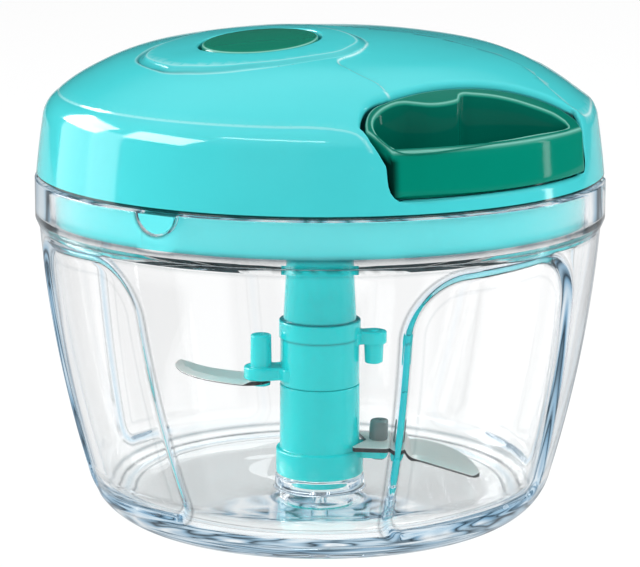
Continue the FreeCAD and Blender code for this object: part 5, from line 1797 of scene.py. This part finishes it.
@dataclass
class Handle:
    """The D-shaped pull handle in the lid's pocket."""

    lid: LidCover
    bottom: float = 84.0
    dome_gap: float = 0.5
    front_radius: float = 64.3
    front_top: float = 93.4
    taper: float = 0.8
    back: float = 47.6
    back_right: float = 54.2
    back_bow: float = 180.0
    left: float = -27.2
    flared_left: float = -29.6
    right: float = 27.3
    rounding: float = 0.75
    under_rounding: float = 0.8
    # A painted highlight along its edges, and painted shade on its top face, in its opening and at the foot
    # of its left corner.
    painted_highlight: float = 0.8
    shade: float = 0.3
    corner_shade: float = 0.95
    corner_width: float = 1.8
    corner_rise: Pair = (0.6, 1.6)
    lean_reach: Pair = (56.0, 62.0)

    def rim_height(self, plan: Array) -> Array:
        """Return the rim's height at plan places: just under the dome, and level at the front."""
        radius = np.hypot(plan[:, 0], plan[:, 1])
        top = self.front_radius - self.taper
        crease, height = self.lid.crease
        slope = np.interp(radius, (crease, top, top + 3),
                          (height - self.dome_gap, self.front_top, self.front_top - 3))
        return np.where(radius < crease, self.lid.height_at(plan) - self.dome_gap, slope)

    def loops(self) -> list[Array]:
        """Return the plan of the ring: its outside, run to the left, and its opening, run to the right."""
        top = self.front_radius - self.taper
        left, right = self.left, self.right
        outer = Profile(math.sqrt(top * top - left * left), left, 2.0)
        outer.arc(math.sqrt(top * top - right * right), right, -top, 60, 1.0)
        outer.to(self.back_right + 1.0, right, 3.0).arc(self.back, self.flared_left + 8.0, -self.back_bow, 44)
        outer.arc(self.back + 4.0, self.flared_left, -7.5, 12, 3.0)
        inner = [(57.8, 22.4), (56.9, 21.0), (56.2, 18.0), (55.2, 14.0), (53.9, 9.8), (52.6, 5.0),
                 (51.6, 0.4), (51.1, -1.8), (51.5, -3.4), (52.6, -4.6), (52.9, -6.8), (52.7, -9.8),
                 (52.0, -12.6), (50.7, -15.2), (49.5, -17.4), (49.0, -20.0), (49.3, -23.4), (50.3, -26.2),
                 (51.8, -27.5), (53.6, -27.6), (55.4, -26.8), (57.0, -25.6), (58.4, -23.6)]
        front = [(60.2, -18.4), (61.5, -11.8), (62.1, -5.2), (62.1, 2.8), (61.0, 11.5), (59.4, 18.6)]
        opening = curved(inner + front, 0.7, True)
        outer, opening = (leftward(self.lid.plan(spaced(loop, 0.9))) for loop in (outer.loop(), opening))
        return [outer, opening[::-1]]

    def leaned(self, points: Array) -> Array:
        """Lean the front out toward its foot, and draw the left side in below the pocket's flare.

        Args:
            points: the places to move.

        Returns:
            The moved places.
        """
        radius = np.hypot(points[:, 0], points[:, 1])
        share = (self.front_top - points[:, 2]) / (self.front_top - self.bottom)
        out = self.taper * np.clip(share, 0, 1) * smooth(*self.lean_reach, radius)
        plan = self.lid.across(points[:, :2] * (1 + out / radius)[:, None])
        past = np.minimum(plan[:, 1] - self.left, 0)
        plan[:, 1] -= past * (1 - self.lid.flared(points[:, 2]))
        return np.column_stack((self.lid.plan(plan), points[:, 2]))

    def build(self) -> None:
        """Build the handle, with painted shade at the foot of its left corner."""
        shell = Shell()
        shell.plate(self.loops(), self.rim_height, level(self.bottom), self.rounding, self.under_rounding,
                    1.3, self.painted_highlight, self.shade)
        # Painted shade at the foot of the left corner.
        for points, tint in zip(shell.points, shell.tints):
            along = self.lid.across(points[:, :2])[:, 1]
            corner = (1 - smooth(self.left, self.left + self.corner_width, along)) * self.corner_shade
            low = smooth(*self.corner_rise, self.front_top - points[:, 2])
            tint[:, 1] = np.maximum(tint[:, 1], corner * low)
        shell.reshape(self.leaned)
        shell.build("pull_handle_ring", HANDLE_PLASTIC, "handle", 36, ("pull_handle",))


@dataclass
class PullCord:
    """The cord: its turns on the drum, its lead to the pocket, and the stretch out to the handle.

    The stops are distances along the pull, and so are the stretch's two ends.
    """

    lid: LidCover
    radius: float = 0.8
    side: float = -9.5
    height: float = 91.4
    coil_radius: float = 20.8
    pitch: float = 2.1
    turns: float = 3.0
    coil_steps: int = 216
    lead_stops: Row = (43.0, 44.5, 47.2)
    stretch_stops: Row = (46.6, 46.9, 47.5, 47.8, 48.9)
    stretch_ends: Pair = (46.9, 47.5)
    stretch_gap: float = 0.02
    knot_stop: float = 50.2
    knot_loop: float = 0.6
    knot_twist: float = 0.45
    knot_radius: float = 0.75
    eyelet_stops: Pair = (45.0, 47.0)
    eyelet_bore: float = 0.84
    eyelet_radius: float = 2.55

    def __post_init__(self) -> None:
        """Work out the directions along the pull, across it and up."""
        middle = self.at(0, 0)
        self.way, self.aside = self.at(1, 0) - middle, self.at(0, 1) - middle
        self.up = np.array((0, 0, 1.0))

    def at(self, along: float, across: float) -> Array:
        """Return the place at a distance along and across the pull, at the cord's height."""
        return np.append(self.lid.plan(np.array(((along, across),)))[0], self.height)

    def run(self, stops: Sequence[float]) -> list[Array]:
        """Return the cord's places at distances along the pull."""
        return [self.at(stop, self.side) for stop in stops]

    def piece(self, name: str, path: Array, radius: float, body: str, node: str) -> None:
        """Build a piece of cord that rides on one body.

        Args:
            name: the piece's name.
            path: the places that it runs through.
            radius: its radius.
            body: the CAD body.
            node: the CAD node that it stands for.
        """
        shell = Shell()
        shell.tube(path, radius)
        shell.build(name, CORD_BRAID, body, replaces=(node,))

    def coil(self) -> Array:
        """Return the path of the turns on the drum, up to where the cord leaves for the eyelet."""
        pull = math.radians(self.lid.pull_angle)
        eyelet = math.hypot(self.lid.pocket_back, self.side)
        leave = pull + math.atan2(self.side, self.lid.pocket_back) - math.acos(self.coil_radius / eyelet)
        left = 1 - np.linspace(0, 1, self.coil_steps + 1)
        heights = self.height - self.turns * self.pitch * left
        return np.column_stack((self.coil_radius * circle(leave - TURN * self.turns * left), heights))

    def stretch(self) -> None:
        """Build the stretch of cord between the lid and the handle."""
        shell = Shell()
        shell.tube(np.array(self.run(self.stretch_stops)), self.radius - self.stretch_gap)
        stretch = shell.build("cord_stretch", CORD_BRAID, "")
        metres = [tuple(place * MM) for place in self.run(self.stretch_ends)]
        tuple(metres[0])
        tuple(metres[1])
        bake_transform(stretch)

    def knot(self) -> None:
        """Build the knot in the handle."""
        angles = np.linspace(0, TURN, 33)[:-1, None]
        loop = (np.sin(angles) * self.aside + np.cos(angles) * self.up) * self.knot_loop
        loop += self.at(self.knot_stop, self.side) + np.sin(angles * 2) * self.way * self.knot_twist
        shell = Shell()
        shell.tube(np.concatenate((loop, loop[:1])), self.knot_radius, 12)
        shell.build("cord_knot", CORD_BRAID, "handle", replaces=("cord_end",))

    def eyelet(self) -> None:
        """Build the eyelet in the pocket's wall."""
        (start, end), bore, radius = self.eyelet_stops, self.eyelet_bore, self.eyelet_radius
        line = Profile(bore, start).to(radius, start).to(radius, end, 0.2).to(bore, end, 0.4)
        shell = Shell()
        shell.lathe(line.to(bore, start).line(), 40)
        turn = np.column_stack((self.aside, self.up, self.way))
        shell.reshape(lambda points: points @ turn.T + self.at(0, self.side))
        shell.build("cord_guide_ring", PIN_STEEL, "lid", replaces=("cord_eyelet",))

    def build(self) -> None:
        """Build the cord's pieces and its eyelet."""
        coil = self.coil()
        self.piece("cord_turns", coil, self.radius, "drum", "cord_winding")
        first, *others = self.run(self.lead_stops)
        lead = np.array((coil[-1], (coil[-1] + first) / 2, first, *others))
        self.piece("cord_lead_run", lead, self.radius, "lid", "cord_lead")
        self.stretch()
        self.knot()
        self.eyelet()


@dataclass
class CarriedNodes:
    """The CAD nodes that keep their own shapes, with the finish that each one wears."""

    finishes: tuple[tuple[Finish, tuple[str, ...]], ...] = (
        (SKIRT_PLASTIC, ("lid_base",)),
        (COLUMN_PLASTIC, ("drive_hub",)),
        (INNER_PLASTIC, ("cord_drum", "spring_case", "spring_case_cover", "pawl_1", "pawl_2",
                         "pawl_3")),
        (PIN_STEEL, ("pawl_pins", "spring_case_screws", "lid_screws", "drum_axle", "return_spring")),
    )

    def build(self) -> None:
        """Dress the nodes."""
        for finish, names in self.finishes:
            for name in names:
                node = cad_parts[name]
                node.data.materials.clear()
                node.data.materials.append(finish.material())
                LOG.info("%s wears %s", name, finish.name)


@dataclass(frozen=True)
class Lamp:
    """A soft lamp that faces the object, placed and measured in metres, with its power in watts.

    Glossy faces show it where it is mirrored, and it lights the faces that it falls on where it is lit.
    """

    name: str
    place: Place
    size: Pair
    power: float
    mirrored: bool = False
    lit: bool = False
    aim: Place = (0.0, 0.0, 0.06)

    def build(self) -> None:
        """Add the lamp."""
        data = bpy.data.lights.new(self.name, "AREA")
        data.shape = "RECTANGLE"
        data.size, data.size_y = self.size
        data.energy = self.power
        lamp = bpy.data.objects.new(self.name, data)
        bpy.context.scene.collection.objects.link(lamp)
        lamp.location = self.place
        lamp.rotation_euler = (Vector(self.aim) - Vector(self.place)).to_track_quat("-Z", "Y").to_euler()
        lamp.visible_glossy = self.mirrored
        lamp.visible_diffuse = self.lit


@dataclass
class Studio:
    """The pale floor, the soft lamps, the world and the camera."""

    camera_place: Place = (0.0, -674.2, 191.95)
    camera_pitch: float = 0.20292
    camera_roll: float = 0.0022
    lens: float = 168.14
    sensor: float = 36.0
    floor_tone: tuple[float, float, float, float] = (0.95, 0.95, 0.95, 1.0)
    floor_roughness: float = 0.12
    floor_specular: float = 0.3
    floor_glow: float = 0.85
    glow_strength: float = 1.07
    mirrored_floor: float = 0.5
    floor_drop: float = 0.00005
    floor_size: Pair = (1.4, 12.0)
    sky_light: float = 0.48
    surround: str = "3A4448"
    ceiling: str = "E8F2F6"
    ceiling_edge: Pair = (0.45, 0.8)
    lamps: tuple[Lamp, ...] = (
        Lamp("low_window", (-0.89, 0.48, 0.52), (0.6, 0.42), 9.0, mirrored=True),
        Lamp("high_window", (-0.88, -0.28, 0.62), (0.56, 0.4), 9.0, mirrored=True),
        Lamp("overhead_strip", (-0.28, -0.54, 1.02), (0.65, 0.06), 1.2, mirrored=True),
        Lamp("right_strip", (1.08, 0.19, 0.2), (0.08, 0.5), 0.8, mirrored=True),
        Lamp("left_screen", (-1.1, 0.55, 0.25), (0.55, 0.7), 2.2, mirrored=True),
        Lamp("narrow_left_screen", (-1.25, 0.12, 0.25), (0.4, 0.7), 2.4, mirrored=True),
        Lamp("top_softbox", (0.0, 0.1, 1.2), (1.0, 1.0), 3.8, lit=True),
        Lamp("front_fill", (-0.45, -1.2, 0.5), (0.8, 0.6), 4.4, lit=True),
        Lamp("left_fill", (-1.2, 0.2, 0.5), (1.0, 1.0), 10.5, lit=True),
        Lamp("right_fill", (1.15, -0.1, 0.6), (0.9, 0.9), 7.5, lit=True),
        Lamp("rear_fill", (0.4, 1.1, 0.9), (0.8, 0.6), 4.2, lit=True))

    def camera(self) -> None:
        """Set the camera at the photograph's place."""
        data = bpy.data.cameras.new("photo_camera")
        data.lens = self.lens
        data.sensor_width = self.sensor
        data.clip_start = 0.01
        camera = bpy.data.objects.new("photo_camera", data)
        bpy.context.scene.collection.objects.link(camera)
        pitch = Matrix.Rotation(math.pi / 2 - self.camera_pitch, 4, "X")
        roll = Matrix.Rotation(self.camera_roll, 4, "Z")
        camera.matrix_world = Matrix.Translation(Vector(self.camera_place) * MM) @ (pitch @ roll)
        bpy.context.scene.camera = camera

    def world(self) -> None:
        """Make the world white to look at, a plain light, and dim with a pale ceiling in gloss and glass."""
        world = bpy.data.worlds.new("white_studio")
        bpy.context.scene.world = world
        world.use_nodes = True
        nodes = Nodes(world.node_tree)
        seen = world.node_tree.nodes["Background"]
        seen.inputs["Color"].default_value = (1.0, 1.0, 1.0, 1.0)
        light = nodes.add("ShaderNodeBackground", Strength=self.sky_light)
        place = nodes.add("ShaderNodeTexCoord")
        parts = nodes.add("ShaderNodeSeparateXYZ")
        nodes.link(place.outputs["Generated"], parts.inputs["Vector"])
        overhead = nodes.ranged(parts.outputs["Z"], 0.0, 1.0, *self.ceiling_edge)
        room = nodes.add("ShaderNodeBackground")
        nodes.link(nodes.mixed(overhead, self.surround, self.ceiling), room.inputs["Color"])
        path = nodes.add("ShaderNodeLightPath").outputs
        glossy = nodes.worked_out("MAXIMUM", path["Is Glossy Ray"], path["Is Transmission Ray"])
        unseen = nodes.layered(glossy, light.outputs["Background"], room.outputs["Background"])
        whole = nodes.layered(path["Is Camera Ray"], unseen, seen.outputs["Background"])
        nodes.link(whole, world.node_tree.nodes["World Output"].inputs["Surface"])

    def floor(self) -> None:
        """Lay the pale glossy floor, which glows to look at and is dimmer in gloss."""
        mesh = bpy.data.meshes.new("studio_floor")
        across, along = self.floor_size
        corners = ((-across, -along), (across, -along), (across, along), (-across, along))
        mesh.from_pydata([(x / 2, y / 2, -self.floor_drop) for x, y in corners], [], [(0, 1, 2, 3)])
        floor = bpy.data.objects.new("studio_floor", mesh)
        bpy.context.scene.collection.objects.link(floor)
        nodes = MaterialNodes("white_floor")
        nodes.set(Base_Color=self.floor_tone, Roughness=self.floor_roughness,
                  Specular_IOR_Level=self.floor_specular)
        glow = nodes.add("ShaderNodeEmission", Strength=self.glow_strength)
        dim = nodes.add("ShaderNodeEmission", Strength=self.mirrored_floor)
        path = nodes.add("ShaderNodeLightPath").outputs
        straight = nodes.worked_out("MAXIMUM", path["Is Camera Ray"], path["Is Transmission Ray"])
        share = nodes.worked_out("MULTIPLY", straight, self.floor_glow)
        seen = nodes.layered(share, nodes.shader.outputs["BSDF"], glow.outputs["Emission"])
        glossy = nodes.worked_out("SUBTRACT", path["Is Glossy Ray"], path["Is Transmission Ray"], True)
        nodes.link(nodes.layered(glossy, seen, dim.outputs["Emission"]), nodes.surface)
        mesh.materials.append(nodes.material)

    def build(self) -> None:
        """Build the studio."""
        self.camera()
        self.world()
        self.floor()
        for lamp in self.lamps:
            lamp.build()


def main() -> None:
    """Build the studio and every piece."""
    logging.basicConfig(level=logging.INFO, format="%(message)s")
    scene = bpy.context.scene
    scene.view_settings.view_transform = "Standard"
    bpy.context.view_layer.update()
    Studio().build()
    Bowl().build()
    Column().build()
    lid = LidCover()
    lid.build()
    Badge(lid).build()
    Handle(lid).build()
    PullCord(lid).build()
    CarriedNodes().build()
    LOG.info("the model is built")


if __name__ == "__main__":
    main()
